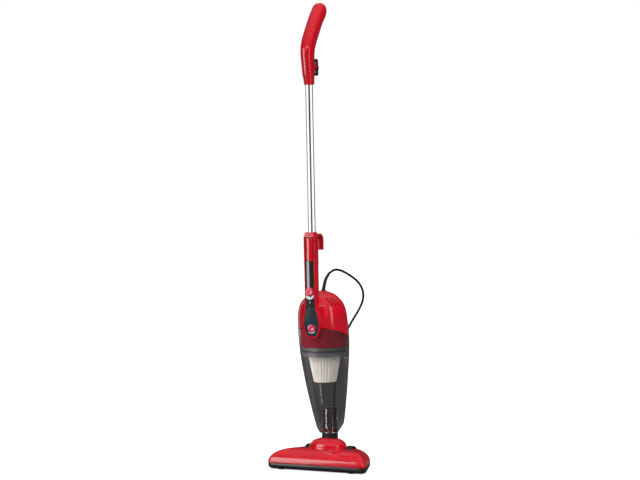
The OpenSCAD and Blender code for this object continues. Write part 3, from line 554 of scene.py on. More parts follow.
def make_plug():
    """A moulded two-pin plug: a ribbed neck, and a body that widens to a flat face."""
    bm = bmesh.new()
    y, z = 191, 6.6
    rows = [(0, 3.4, 3.4), (-2, 4.6, 4.6), (-4, 4.0, 4.0), (-6, 4.9, 4.9), (-8, 4.2, 4.2), (-10, 5.2, 5.2),
            (-12, 4.6, 4.6), (-14, 5.4, 5.4), (-18, 6.0, 5.9), (-24, 8.0, 6.2), (-31, 10.6, 6.4),
            (-37, 12.4, 6.5), (-43, 12.9, 6.5), (-45.6, 12.7, 6.3), (-46, 12.0, 5.6)]
    rings = []
    for dx, wide, tall in smooth_rows(rows, 3):
        ring = []
        for i in range(48):
            a = 2 * math.pi * i / 48
            c, s = math.cos(a), math.sin(a)
            power = 0.6 if wide > 6.5 else 1.0
            ring.append((-96 + dx, y + wide * math.copysign(abs(c) ** power, c),
                         z + tall * math.copysign(abs(s) ** power, s)))
        rings.append(ring)
    add_loft(bm, rings)
    return piece("plug_moulding", bm, BLACK, "housing", "black_plastic", "plug_body", place=WORLD, sharp=50)


def make_pins():
    bm = bmesh.new()
    for side in (-1, 1):
        lathe(bm, [(0, 0), (2, 0), (2, 16), (1.9, 17.5), (1.3, 18.6), (0, 19)],
              facing(-142, 191 + 9.5 * side, 6.6, (-1, 0, 0)), 32)
    return piece("plug_contacts", bm, BRASS, "housing", "brass_parts", "plug_pins", place=WORLD)


def make_tie():
    """A strap that goes round the coil's section."""
    bm = bmesh.new()
    low_r, high_r = COIL_MEAN_R - 13.1, COIL_MEAN_R + 13.1
    outer = round_corners([(low_r, 0.02), (high_r, 0.02), (high_r, 25.1), (low_r, 25.1)], 3.5, 6)
    inner = round_corners([(low_r + 1, 0.9), (high_r - 1, 0.9), (high_r - 1, 24.2), (low_r + 1, 24.2)],
                          2.6, 6)
    turn = Matrix.Translation((COIL_AT[0], COIL_AT[1], 0)) @ Matrix.Rotation(math.radians(205), 4, "Z")
    rings = []
    for outline, half in ((outer, -4.5), (outer, 4.5), (inner, 4.5), (inner, -4.5)):
        rings.append([turn @ Vector((p[0], half, p[1])) for p in outline])
    add_loft(bm, rings, closed=True)
    return piece("coil_strap", bm, FRAME_GREY, "housing", "slate_plastic", "cord_tie", place=WORLD, bevel=0.3)


cord = make_cord()
plug = make_plug()
pins = make_pins()
tie = make_tie()


def make_strain_relief():
    bm = bmesh.new()
    line = smooth_rows([(0, -2, 437), (1.5, 6.5, 461.5), (5, 21, 478)], 30)

    def radius(t):
        return 4.8 - 1.4 * t - (0.45 if t > 0.2 and (t * 12) % 1 > 0.6 else 0)

    sweep(bm, line, radius, 32)
    back = UNIT.inverted() @ WORLD
    bm.transform(back)
    lathe(bm, [(0, -7), (6.8, -7), (7.0, 0.4), (6.6, 1.5), (5.4, 2.1), (0, 2.1)],
          facing(0, -21, DOME_TOP - 0.6, (0, 0, 1)), 48)
    return piece("cord_boot", bm, RUBBER, "housing", "soft_rubber", "strain_relief", sharp=60)


make_strain_relief()

# ---------- hand unit: dome, cup, duct, filter ----------

BODY_SHAPE = [
    (0, 0.37, 0.355), (0.034, 0.49, 0.202), (0.063, 0.565, 0.073), (0.135, 0.645, 0.037),
    (0.292, 0.787, 0.016), (0.436, 0.892, 0.008), (0.564, 0.968, 0), (0.693, 1, 0.032),
    (0.808, 0.976, 0.137), (0.865, 0.94, 0.2), (0.917, 0.839, 0.33), (0.954, 0.661, 0.492),
    (0.98, 0.435, 0.629), (1, 0.129, 0.911),
]
BODY = [[CUP_FLOOR + BODY_H * s[0], BODY_R * s[1], BODY_BACK - BODY_R * s[2] - BODY_R * s[1]]
        for s in smooth_rows(BODY_SHAPE, 8)]
SEAM_HALF = 0.45
SEAM_DEPTH = 0.3


def round_ring(r, yc, z, seam=False, count=120):
    """A circle, with a fine V where the two shells meet at the front and the back."""
    out = []
    for quarter in range(2):
        middle = math.pi * (0.5 + quarter)
        gap = SEAM_HALF / max(r, 3 * SEAM_HALF)
        spots = [(-2 * gap, 0), (-gap, SEAM_DEPTH if seam else 0), (0, SEAM_DEPTH * 1.3 if seam else 0),
                 (gap, SEAM_DEPTH if seam else 0), (2 * gap, 0)]
        for da, depth in spots:
            a = middle + da
            out.append((a, depth))
        free = math.pi - 4 * gap
        steps = count // 2
        for k in range(1, steps):
            out.append((middle + 2 * gap + free * k / steps, 0))
    return [((r - d) * math.cos(a), yc + (r - d) * math.sin(a), z) for a, d in out]


def body_rings(inset, low, high, seam=False):
    return [round_ring(r - inset, yc, z - (inset * 0.7 if z > DOME_TOP - 20 else 0), seam)
            for z, r, yc in BODY if low <= z <= high and r > inset + 1]


def joint_cut(bm, gap, keep_above):
    normal = Vector((0, math.sin(JOINT_SLOPE), math.cos(JOINT_SLOPE)))
    spot = JOINT + Vector((0, 0, gap))
    geom = bm.verts[:] + bm.edges[:] + bm.faces[:]
    bmesh.ops.bisect_plane(bm, geom=geom, plane_co=spot, plane_no=normal,
                           clear_inner=keep_above, clear_outer=not keep_above)
    rim = [e for e in bm.edges if e.is_boundary]
    bmesh.ops.bridge_loops(bm, edges=rim)


def vent_cutters():
    out = []
    for side in (-1, 1):
        for k in range(3):
            turn = (Matrix.Translation((0, -30, DOME_TOP - 22))
                    @ Matrix.Rotation(math.radians(side * (44 + 11 * k) - 90), 4, "Z")
                    @ Matrix.Rotation(math.radians(side * 32), 4, "X"))
            out.append(box_bm((20, -1.3, -13), (80, 1.3, 9), turn))
    return out


def make_dome():
    bm = bmesh.new()
    tip = [round_ring(4, BODY[-1][2], DOME_TOP + 0.5), round_ring(0.6, BODY[-1][2], DOME_TOP + 0.6)]
    add_loft(bm, body_rings(0, 240, 500, True) + tip, low_cap=False)
    add_loft(bm, body_rings(SHELL_WALL, 240, 500), low_cap=False)
    joint_cut(bm, JOINT_GAP, True)
    dome = piece("motor_dome", bm, RED, "housing", "red_plastic", "housing_left", "housing_right")
    bake_cut(dome, vent_cutters())
    return dome


def make_cup():
    bm = bmesh.new()
    add_loft(bm, body_rings(0, 0, 340), high_cap=False)
    add_loft(bm, body_rings(CUP_WALL, CUP_FLOOR + CUP_WALL, 340), high_cap=False)
    joint_cut(bm, -JOINT_GAP, False)
    return piece("clear_cup", bm, SMOKE, "dust_cup", "smoke_plastic", "dust_cup")


def make_duct():
    """The inlet duct inside the cup, open at both ends, with a rolled top edge and the flap's ears."""
    bm = bmesh.new()
    inner, outer, low, high = 14.7, 17, 19.1, CUP_FLOOR + 58
    turned_tube(bm, [(inner, low), (outer, low), (outer, high - 1.2), (outer - 0.4, high - 0.3),
                     (outer - 1.15, high), (inner + 0.4, high - 0.3), (inner, high - 1.2)])
    for side in (-1, 1):
        x0, x1 = sorted((5.5 * side, 9 * side))
        slab(bm, round_corners([(13, 92), (23, 92), (23, 110), (13, 110)], [0, 1, 4, 0]), x0, x1)
    return piece("inlet_duct", bm, SMOKE, "dust_cup", "smoke_plastic", "cup_duct")


SKIRT_Z = 262.6
FRAME_TOP = SKIRT_Z - 0.6
FRAME_Z = FRAME_TOP - 22
FRAME_R = look_up(FRAME_Z, BODY, 1) - CUP_WALL - 2.4
FRAME_Y = min(look_up(FRAME_Z, BODY, 2), look_up(FRAME_TOP, BODY, 2)) - 0.4
CONE_TOP_R = 40
CONE_LOW_R = 28
CONE_H = 62
CONE_Z = FRAME_Z - CONE_H


def make_skirt():
    """The motor housing's lower sleeve, which lines the cup from the filter up to the joint, in a red
    darkened as painted shade.
    """
    bm = bmesh.new()
    levels = [SKIRT_Z, SKIRT_Z + 0.5] + [SKIRT_Z + 3 + 3 * k for k in range(24)]
    outer, inner = [], []
    for z in levels:
        r, yc = look_up(z, BODY, 1) - CUP_WALL - 0.7, look_up(z, BODY, 2)
        outer.append(round_ring(r - (0.5 if z == SKIRT_Z else 0), yc, z))
        inner.append(round_ring(r - 2, yc, z))
    add_loft(bm, inner[::-1] + outer, low_cap=True, high_cap=True)
    joint_cut(bm, JOINT_GAP + 1.5, False)
    return piece("housing_skirt", bm, SHADED_RED, "housing", "red_plastic")


def make_filter():
    """A pleated cone: rounded folds that fan out towards the frame."""
    bm = bmesh.new()
    pleats = 30
    count = pleats * 10
    rings = []
    for k in range(13):
        share = k / 12
        r = CONE_LOW_R + (CONE_TOP_R - CONE_LOW_R) * share
        ring = []
        for i in range(count):
            a = 2 * math.pi * i / count
            fold = math.cos(pleats * a)
            depth = 4.0 * (0.5 - 0.5 * math.copysign(abs(fold) ** 0.7, fold))
            wave = 0.15 * math.sin(3 * a + 5 * share)
            ring.append(((r - depth + wave) * math.cos(a), FRAME_Y + (r - depth + wave) * math.sin(a),
                         CONE_Z + CONE_H * share))
        rings.append(ring)
    add_loft(bm, rings)
    return piece("pleated_cone", bm, CLOTH, "housing", "filter_paper", "pleated_filter", sharp=80)


def make_filter_cap():
    bm = bmesh.new()
    r = CONE_LOW_R
    lathe(bm, [(0, -3), (r - 2.5, -3), (r - 0.8, -2.6), (r, -1.6), (r, -0.3), (r - 0.4, 0), (0, 0)],
          facing(0, FRAME_Y, CONE_Z, (0, 0, 1)), 96)
    for k in range(6):
        a = math.pi * k / 3
        turn = Matrix.Translation((0, FRAME_Y, CONE_Z)) @ Matrix.Rotation(a, 4, "Z")
        rib = [turn @ Vector(p) for p in ((7, -0.8, -2.9), (22, -0.8, -2.9), (22, 0.8, -2.9), (7, 0.8, -2.9))]
        add_loft(bm, [rib, [p + Vector((0, 0, 0.6)) for p in rib]])
    return piece("cone_cap", bm, IVORY, "housing", "cap_plastic", "filter_cap")


make_dome()
make_cup()
make_duct()
make_skirt()
make_filter()
make_filter_cap()

# ---------- grip ----------

SPINE_SHAPE = [
    (286, 9, 3.6), (289.5, 12.6, 7.6), (296, 16, 12.2), (306, 20.3, 16.6), (324, 23.5, 19.8), (343, 20, 16),
    (361, 16, 12.2), (388, GRIP_HALF, 11.3), (530, GRIP_HALF, 11.3), (CAP_TOP, GRIP_HALF - 0.6, 10.5),
]
SPINE = smooth_rows(SPINE_SHAPE, 10)
BUTTON_POCKET = BUTTON_LOW - 0.8
POCKET_STEP = 0.9
RIM = 0.5


def face_y(z):
    return float(np.interp(z, [281, 388], [FRONT_Y + 7.5, FRONT_Y]))


def end_round(z, low, high, r):
    """How far an outline draws in to round its ends over by r."""
    gap = min(z - low, high - z)
    return 0 if gap >= r else r - math.sqrt(max(r * r - (r - gap) ** 2, 0))


def spine_section(z):
    half = look_up(z, SPINE, 1)
    bed = look_up(z, SPINE, 2)
    draw = end_round(z, 286, CAP_TOP, 2.2)
    front = face_y(z) + draw
    half -= draw
    depth = INLAY_T if INLAY_LOW < z < INLAY_TOP else 0.0
    if BUTTON_POCKET < z < INLAY_TOP:
        depth += POCKET_STEP
    soft = min(RIM, depth)
    corner = min(2.6, half - bed - RIM - 0.1) if half - bed > 1.2 else 0.5
    right = [(0, front + depth), (bed - 1, front + depth), (bed - 0.2, front + depth),
             (bed, front + max(depth - 0.2, 0)), (bed, front + soft), (bed + 0.15, front + soft * 0.3),
             (bed + soft + 0.01, front)]
    for k in range(7):
        a = math.pi / 2 * k / 6
        right.append((half - corner + corner * math.sin(a), front + corner - corner * math.cos(a)))
    right.append((half, (front + ROD_Y) / 2 + 2))
    for k in range(10):
        a = math.pi / 2 * k / 10
        right.append((half * math.cos(a), ROD_Y + (GRIP_HALF - draw) * math.sin(a)))
    right.append((0.9, ROD_Y + GRIP_HALF - draw))
    right.append((0, ROD_Y + GRIP_HALF - draw - 0.35))
    left = [(-x, y) for x, y in right[1:-1]]
    return [(x, y, z) for x, y in right + left[::-1]]


def make_spine():
    levels = sorted(set([s[0] for s in SPINE]
                        + [INLAY_LOW, INLAY_LOW + 0.3, BUTTON_POCKET, BUTTON_POCKET + 0.05]
                        + [INLAY_TOP - 0.3, INLAY_TOP]
                        + [286.3, 286.8, 287.6, CAP_TOP - 1.4, CAP_TOP - 0.7, CAP_TOP - 0.2]))
    bm = bmesh.new()
    add_loft(bm, [spine_section(z) for z in levels])
    return piece("grip_spine", bm, RED, "housing", "red_plastic", sharp=40)


def inlay_strip(bm, z0, z1, less, proud, crown, depth):
    """A strip in the grip's face that follows the inlay's outline."""
    levels = sorted(set([z0, z1] + [z0 + (z1 - z0) * k / 40 for k in range(41)]))
    rings = []
    for z in levels:
        half = look_up(z, SPINE, 2) - less
        face = face_y(z) - proud
        top = [(half * (k / 6 - 1), face - crown * (1 - (k / 6 - 1) ** 2)) for k in range(13)]
        section = [(-half, face_y(z) + depth)] + top + [(half, face_y(z) + depth)]
        rings.append([(x, y, z) for x, y in section])
    add_loft(bm, rings)


def make_inlays():
    bm = bmesh.new()
    inlay_strip(bm, PANEL_SEAM + 0.4, BUTTON_POCKET, 0.35, -0.6, 1.5, INLAY_T - 0.1)
    piece("dark_panel", bm, GLOSS_BLACK, "housing", "black_plastic", "grip_inlay", bevel=0.5)
    bm = bmesh.new()
    inlay_strip(bm, BUTTON_POCKET + 0.1, INLAY_TOP - 0.4, 0.2, -3.7, 0, INLAY_T + POCKET_STEP - 0.05)
    piece("panel_bed", bm, BLACK, "housing", "black_plastic", bevel=0.2)
    bm = bmesh.new()
    inlay_strip(bm, INLAY_LOW + 0.5, PANEL_SEAM - 0.1, 0.35, -0.6, 1.5, INLAY_T - 0.1)
    piece("slate_panel", bm, SLATE, "housing", "slate_plastic", "lower_panel", bevel=0.5)


def make_rod_button():
    bm = bmesh.new()
    half, edge_y, low_y, crown = 9.5, FRONT_Y + 0.6, FRONT_Y + 1.6, 1.6
    top = [(half * (k / 6 - 1), edge_y - crown * (1 - (k / 6 - 1) ** 2)) for k in range(13)]
    section = [(-half, low_y)] + top + [(half, low_y)]
    levels = [BUTTON_LOW + (BUTTON_TOP - BUTTON_LOW) * k / 24 for k in range(25)]
    add_loft(bm, [[(x, y, z) for x, y in section] for z in levels])
    piece("rod_button_cap", bm, RED, "rod_release_button", "red_plastic", "rod_release_button", bevel=1.1)


def make_knob():
    bm = bmesh.new()
    lathe(bm, [(0, -3), (5.8, -3), (5.8, 1.15), (10.4, 1.15), (10.8, 1.35), (10.7, 1.6), (10.0, 2.0),
               (8.6, 2.35), (6, 2.4), (3, 2.15), (0, 2.05)], facing(0, FRONT_Y - 0.1, KNOB_Z, (0, -1, 0)), 72)
    piece("switch_knob", bm, PINK_RED, "power_knob", "red_plastic", "power_knob", sharp=50)
    bm = bmesh.new()
    half, low, high = 1.2, KNOB_Z - 6.5, KNOB_Z + 6.5
    bar = round_corners([(-half, low), (half, low), (half, high), (-half, high)], 1.1)
    slab(bm, bar, FRONT_Y - 2.4, FRONT_Y - 2.58, "Y")
    piece("knob_mark", bm, RED, "power_knob", "red_plastic")


def crescent(name, centre_z, radius, half, low, sag, face):
    """A crescent seat under a button, pale as a painted highlight: a round top edge and a sagging lower one.
    """
    bm = bmesh.new()
    count = 24
    across = [half * (2 * k / count - 1) for k in range(count + 1)]
    top = [(x, centre_z - math.sqrt(radius * radius - x * x)) for x in across]
    bottom = [(x, low - sag * (1 - (x / half) ** 2)) for x in reversed(across)]
    slab(bm, top + bottom, face - 1.1, face + 0.6, "Y")
    piece(name, bm, PALE_AND_HIGHLIGHT, "housing", "cap_plastic", bevel=0.25)


def make_switch_trim():
    crescent("switch_seat", KNOB_Z, 12.0, 10.2, KNOB_Z - 14, 5, FRONT_Y)
    bm = bmesh.new()
    lathe(bm, [(0, 0), (1.5, 0), (1.5, 0.3), (1.1, 0.75), (0, 0.9)],
          facing(0, FRONT_Y - 0.2, KNOB_Z - 26, (0, -1, 0)), 24)
    piece("switch_lamp", bm, PALE_AND_HIGHLIGHT, "housing", "cap_plastic")


def make_cup_button():
    place = facing(0, face_y(CUP_BUTTON_Z), CUP_BUTTON_Z, (0, -1, 0))
    bm = bmesh.new()
    lathe(bm, [(0, -6), (10.3, -6), (10.3, 0), (10.6, 0.4), (10.3, 1.2), (9.3, 1.6), (6, 1.5), (0, 1.1)],
          place, 72, 0.82)
    piece("cup_button_cap", bm, PINK_RED, "cup_release_button", "red_plastic", "cup_release_button", sharp=50)
    bm = bmesh.new()
    turned_tube(bm, [(10.75, -1.5), (11.9, -1.5), (12.1, -0.2), (11.6, 0.35), (11.0, 0.2)], place, 72, 0.84)
    piece("button_ring", bm, GLOSS_BLACK, "housing", "black_plastic")
    crescent("button_seat", CUP_BUTTON_Z, 10.6, 8.0, CUP_BUTTON_Z - 10.2, 2.2, face_y(301) - 0.05)


def make_lower_hook():
    """The cord hook at the back of the grip: a wide curved arm that hangs down at its end."""
    bm = bmesh.new()
    y0 = ROD_Y + GRIP_HALF - 4
    outline = round_corners([(y0, 538), (-41, 538), (-41, 498), (-46.6, 498), (-46.6, 531.5), (y0, 531.5)],
                            [0, 17, 1.5, 1.5, 9, 0], 10)
    slab(bm, outline, -12.5, 12.5)
    return piece("grip_hook", bm, RED, "housing", "red_plastic", bevel=1.2)


make_spine()
make_inlays()
make_rod_button()
make_knob()
make_switch_trim()
make_cup_button()
make_lower_hook()

# ---------- rod and handle ----------

HANDLE_SHAPE = [
    (2, 0, 11.8, 12.6), (0, 14, 12.9, 14.2), (-1.5, 28, 14.2, 16), (-3, 45, 14.8, 17), (-4.5, 64, 15.4, 18),
    (-3.4, 82, 16.2, 18.5), (3.5, 99, 16.8, 18.5), (14.5, 115, 17, 18.5), (25.5, 130, 17, 18.5),
    (37.5, 146, 17, 18.5), (50, 161, 17.2, 18.5), (61.5, 172.5, 17.4, 18.8), (69.5, 184, 16.4, 17.6),
    (73.5, 192, 12.4, 13.4), (75.3, 196.6, 6, 6.6),
]


def handle_rings():
    rows = smooth_rows(HANDLE_SHAPE, 8)
    last = len(rows) - 1
    rings = []
    for k, row in enumerate(rows):
        before, after = rows[max(k - 1, 0)], rows[min(k + 1, last)]
        along = Vector((after[0] - before[0], after[1] - before[1])).normalized()
        dip = 0.5 * math.exp(-((row[1] - 37) / 0.9) ** 2) + 0.4 * math.exp(-((row[1] - 112) / 0.9) ** 2)
        ring = []
        for x, q, _ in round_ring(1, 0, 0, False, 96):
            flat = 0.86
            x = math.copysign(abs(x) ** flat, x)
            q = math.copysign(abs(q) ** flat, q)
            wide, deep = row[2] - dip, row[3] - dip
            seam = 0.35 if abs(x * wide) < 0.25 else 0
            ring.append((x * wide, ROD_Y + row[0] + q * (deep - seam) * along.y,
                         HANDLE_LOW + row[1] - q * (deep - seam) * along.x))
        rings.append(ring)
    tip = rows[last]
    centre = Vector((0, ROD_Y + tip[0], HANDLE_LOW + tip[1]))
    for share, lift in ((0.55, 1.2), (0.15, 1.7)):
        rings.append([centre + (Vector(p) - centre) * share + Vector((0, lift * 0.4, lift)) * 0.5
                      for p in rings[last]])
    return rings


def make_handle():
    bm = bmesh.new()
    add_loft(bm, handle_rings())
    lathe(bm, [(0, 0), (7.4, 0), (7.2, 18), (6.8, 22.8), (0, 23)],
          facing(0, ROD_Y + 12, HOOK_Z, (0, 1, 0)), 48)
    tab = round_corners([(ROD_Y + 8, HANDLE_LOW + 1), (ROD_Y + 20, HANDLE_LOW - 1),
                         (ROD_Y + 20.5, HANDLE_LOW + 10), (ROD_Y + 8, HANDLE_LOW + 16)], [0, 1.5, 3, 0])
    slab(bm, tab, -4, 4)
    return piece("curved_handle", bm, RED, "rod", "red_plastic", "handle_left", "handle_right", sharp=50)


def make_rod():
    """The chrome rod, with a red collar where it meets the grip and the handle."""
    axis = Matrix.Translation((0, ROD_Y, 0))
    low, high = GRIP_TOP - 100, HANDLE_LOW + 50
    bm = bmesh.new()
    turned_tube(bm, [(ROD_R - 1, low), (ROD_R, low), (ROD_R, high), (ROD_R - 1, high)], axis)
    piece("polished_rod", bm, CHROME, "rod", "chrome_tube", "rod_tube")
    bore, collar_r = ROD_R + 0.02, 10.6
    for body, z in (("housing", CAP_TOP - 1), ("rod", HANDLE_LOW - 2.5)):
        bm = bmesh.new()
        turned_tube(bm, [(bore, z), (collar_r, z), (collar_r, z + 2.2), (collar_r - 0.7, z + 2.9),
                         (bore, z + 2.9)], axis, 72)
        piece("rod_collar_" + body, bm, RED, body, "red_plastic")


def make_upper_hook():
    """The turning cord hook: a bar with an arm at each end that points to the handle."""
    bm = bmesh.new()
    y0, y1 = HOOK_OUT, HOOK_OUT + 4.6
    outline = round_corners([(y1, HOOK_Z - 20), (y1, HOOK_Z + 20), (y0 - 11, HOOK_Z + 20),
                             (y0 - 11, HOOK_Z + 16), (y0, HOOK_Z + 16), (y0, HOOK_Z - 16),
                             (y0 - 11, HOOK_Z - 16), (y0 - 11, HOOK_Z - 20)],
                            [6, 6, 1.6, 1.6, 3, 3, 1.6, 1.6], 8)
    slab(bm, outline, -7, 7)
    lathe(bm, [(4.4, 0.0), (8.5, 0.0), (8.5, 4.2), (7.9, 5.0), (4.6, 5.0), (4.4, 4.6)],
          facing(0, HOOK_OUT, HOOK_Z, (0, 1, 0)), 48)
    return piece("turning_hook", bm, BLACK, "upper_hook", "black_plastic", "upper_cord_hook", bevel=0.9)


make_handle()
make_rod()
make_upper_hook()

# ---------- floor head ----------

HEAD_W = 258
HEAD_BACK_W = 202
HEAD_FRONT = 54
HEAD_BACK = 62
BAND_Z = 16
COVER_Z = 50
DOME_Z = 75
SIDE_ANGLE = math.degrees(math.atan((HEAD_W - HEAD_BACK_W) / 2 / (HEAD_FRONT + HEAD_BACK)))


def arc(cx, cy, r, a0, a1, n):
    return [(cx + r * math.cos(math.radians(a0 + (a1 - a0) * i / n)),
             cy + r * math.sin(math.radians(a0 + (a1 - a0) * i / n))) for i in range(n + 1)]


def head_ring(front, side, back, z):
    rf = 10 - side / 10
    rb = 12 - back / 4
    fx = HEAD_W / 2 - side - rf
    bx = HEAD_BACK_W / 2 - side - rb
    fy = -HEAD_FRONT + front + rf
    by = HEAD_BACK - back - rb
    edge_x = [fx * k / 10 for k in range(1, 10)]
    right = [(x, fy - rf) for x in edge_x] + arc(fx, fy, rf, -90, SIDE_ANGLE, 14)
    end = arc(bx, by, rb, SIDE_ANGLE, 90, 10)
    a, b = Vector(right[-1]), Vector(end[0])
    right += [tuple(a.lerp(b, k / 8)) for k in range(1, 8)] + end
    right += [(bx * (1 - k / 10), by + rb) for k in range(1, 10)]
    ring = [(0, fy - rf)] + right + [(0, by + rb)] + [(-x, y) for x, y in right[::-1]]
    return [(x, y, z) for x, y in ring]


def pillow_rings(inset, z0):
    rounding = 2 / 2.2
    rings = []
    for k in range(25):
        a = math.radians(90 * k / 24)
        c = 1 - max(math.cos(a), 0) ** rounding
        z = z0 + (COVER_Z - inset - z0) * math.sin(a) ** rounding
        rings.append(head_ring(inset + 48 * c, inset + 58 * c, inset + 8 * c, z))
    return rings


def neck_dome_rings(inset, low):
    spring = COVER_Z + 3
    rings = []
    count = 120

    def ring(grow, share, z):
        out = []
        for i in range(count):
            a = 2 * math.pi * i / count
            c, s = math.cos(a), math.sin(a)
            out.append(((46 + grow) * share * math.copysign(abs(c) ** 0.8, c),
                        25 + (37 + grow) * share * math.copysign(abs(s) ** 0.8, s), z))
        return out

    rings.append(ring(-inset, 1, low))
    if inset == 0:
        rings += [ring(0, 1, spring - 0.6), ring(-0.2, 1, spring - 0.15), ring(-0.8, 1, spring)]
        inset = 1.1
    top, blunt = math.radians(87.5), 0.87
    rise = DOME_Z - (inset if low > 36.5 else 0) - spring
    for k in range(22):
        a = top * k / 21
        lift = rise * (math.sin(a) / math.sin(top)) ** blunt
        rings.append(ring(-inset, math.cos(a) ** blunt, spring + 0.1 + lift))
    return rings


def dome_plug():
    """The hole in the cover that the neck cover stands in."""
    bm = bmesh.new()
    rings = []
    for z in (0, 99):
        ring = []
        for i in range(120):
            a = 2 * math.pi * i / 120
            c, s = math.cos(a), math.sin(a)
            ring.append((46.5 * math.copysign(abs(c) ** 0.8, c),
                         25 + 37.5 * math.copysign(abs(s) ** 0.8, s), z))
        rings.append(ring)
    add_loft(bm, rings)
    return bm


def shell(bm, outer, inner):
    """A closed skin of two open ones: outer and inner rings both start at the same edge."""
    add_loft(bm, inner[::-1] + outer, low_cap=True, high_cap=True)


def make_cover():
    bm = bmesh.new()
    shell(bm, pillow_rings(0, BAND_Z), pillow_rings(2.4, BAND_Z))
    cover = piece("head_shell", bm, RED, "floor_head", "red_plastic", "head_cover", place=WORLD, sharp=30)
    bake_cut(cover, [dome_plug(), box_bm((-64.5, 28, 0), (64.5, 99, 99)), box_bm((45, 8, 0), (64.5, 99, 99)),
                     box_bm((-64.5, 8, 0), (-45, 99, 99))], WORLD)
    mod = cover.modifiers.new("edges", "BEVEL")
    mod.width = 0.6 * MM
    mod.segments = 2
    mod.limit_method = "ANGLE"
    mod.angle_limit = math.radians(40)
    mod.harden_normals = True
    bm = bmesh.new()
    count = 64
    rings = []
    turns = [2 * math.pi * i / count for i in range(count)]
    for grow, z in ((0, -4), (0, 0.2), (-0.5, 0.9), (-1.6, 1.3), (-3.5, 1.35), (-8, 1.1)):
        rings.append([(27 + (18 + grow) * math.cos(a), -9 + (11 + grow) * math.sin(a), COVER_Z + z)
                      for a in turns])
    add_loft(bm, rings)
    piece("cover_relief", bm, RED, "floor_head", "red_plastic", place=WORLD, sharp=50)
    return cover


def make_neck_cover():
    bm = bmesh.new()
    shell(bm, neck_dome_rings(0, 36.2), neck_dome_rings(2.4, 36.6))
    dome = piece("neck_shroud", bm, RED, "floor_head", "red_plastic", "neck_cover", place=WORLD, sharp=40)
    bake_cut(dome, [box_bm((-21.5, 15.65, 0), (21.5, 99, 99))], WORLD)
    return dome


def make_band():
    """The black band round the sole, with its chamfer and a fine step under the cover."""
    bm = bmesh.new()
    rows = [(5, 5, 3, 2.05), (2.6, 2.6, 1.7, 4.6), (0.7, 0.7, 0.7, 7), (0.5, 0.5, 0.5, 7.8),
            (0.5, 0.5, 0.5, 14.6), (0.9, 0.9, 0.9, 15.2), (1.4, 1.4, 1.4, 15.5), (1.4, 1.4, 1.4, 16),
            (3, 3, 3, 16), (3, 3, 3, 7), (7, 7, 5, 2.05)]
    add_loft(bm, [head_ring(*row) for row in rows], closed=True)
    band = piece("sole_band", bm, BLACK, "floor_head", "black_plastic", place=WORLD, sharp=40)
    bake_cut(band, [box_bm((45, 8, -1), (64.5, 99, 99)), box_bm((-64.5, 8, -1), (-45, 99, 99)),
                    box_bm((86, -51.5, -1), (100, -41.5, 9)), box_bm((-100, -51.5, -1), (-86, -41.5, 9)),
                    box_bm((-64.5, 56, 4.9), (64.5, 99, 99))], WORLD)
    return band


WHEEL_IN = 47


def make_wheel(side, name, node, body):
    bm = bmesh.new()
    rows = [(9, 0), (26.6, 0), (27.6, 0.5), (28, 1.6), (28, 5.6), (27, 6.0), (27, 6.6), (28, 7), (28, 8.6),
            (27, 9.0), (27, 9.6), (28, 10), (28, 13.6), (27.5, 14.9), (26.3, 15.5), (23.8, 15.5),
            (23.2, 14.9), (22.8, 12.6), (10.5, 12.6), (9.6, 13), (9.2, 15.2), (8.6, 15.5), (4.1, 15.5),
            (4.1, 0)]
    place = facing(side * WHEEL_IN, 39, 28, (side, 0, 0))
    turned_tube(bm, rows, place)
    for k in range(6):
        turn = place @ Matrix.Rotation(math.pi * k / 3, 4, "Z")
        foot = [Vector((x, y, 12)) for x, y in ((9.4, -1.4), (22.9, -1.4), (22.9, 1.4), (9.4, 1.4))]
        add_loft(bm, [[turn @ p for p in foot], [turn @ (p + Vector((0, 0, 1.9))) for p in foot]])
    return piece(name, bm, RUBBER, body, "tyre_rubber", node, place=WORLD, sharp=40)


def make_neck():
    bm = bmesh.new()
    lathe(bm, [(14.3, 18), (17.1, 18), (17.1, 46.6), (17.6, 47.4), (19.2, 47.6), (20, 46.8), (20, 42.6),
               (19.3, 42.0), (19.3, 40.6), (20, 40), (20, 14), (14.3, 14)], Matrix.Identity(4), 96)
    lathe(bm, [(0, -22), (16, -22), (17, -21), (17, 21), (16, 22), (0, 22)], facing(0, 0, 0, (1, 0, 0)), 72)
    return piece("neck_socket_body", bm, BLACK, "neck", "black_plastic", "neck_socket", bevel=0)


def make_latch():
    bm = bmesh.new()
    outline = round_corners([(21.6, 25), (24.6, 25), (24.6, 51), (21.6, 51)], [0.5, 1.4, 1.4, 0.5])
    slab(bm, outline, -9, 9)
    slab(bm, [(16.2, 27), (22, 27), (22, 45), (16.2, 45)], -7, 7)
    for k in range(5):
        z = 31 + 3.4 * k
        slab(bm, [(24.4, z), (25.1, z + 0.4), (25.1, z + 1.0), (24.4, z + 1.4)], -7, 7)
    return piece("latch_tab", bm, BLACK, "neck_latch", "black_plastic", "neck_latch", bevel=0.4)


make_cover()
make_neck_cover()
make_band()
make_wheel(-1, "tyre_left", "wheel_left", "wheel_left")
make_wheel(1, "tyre_right", "wheel_right", "wheel_right")
make_neck()
make_latch()

# ---------- floor, lights ----------


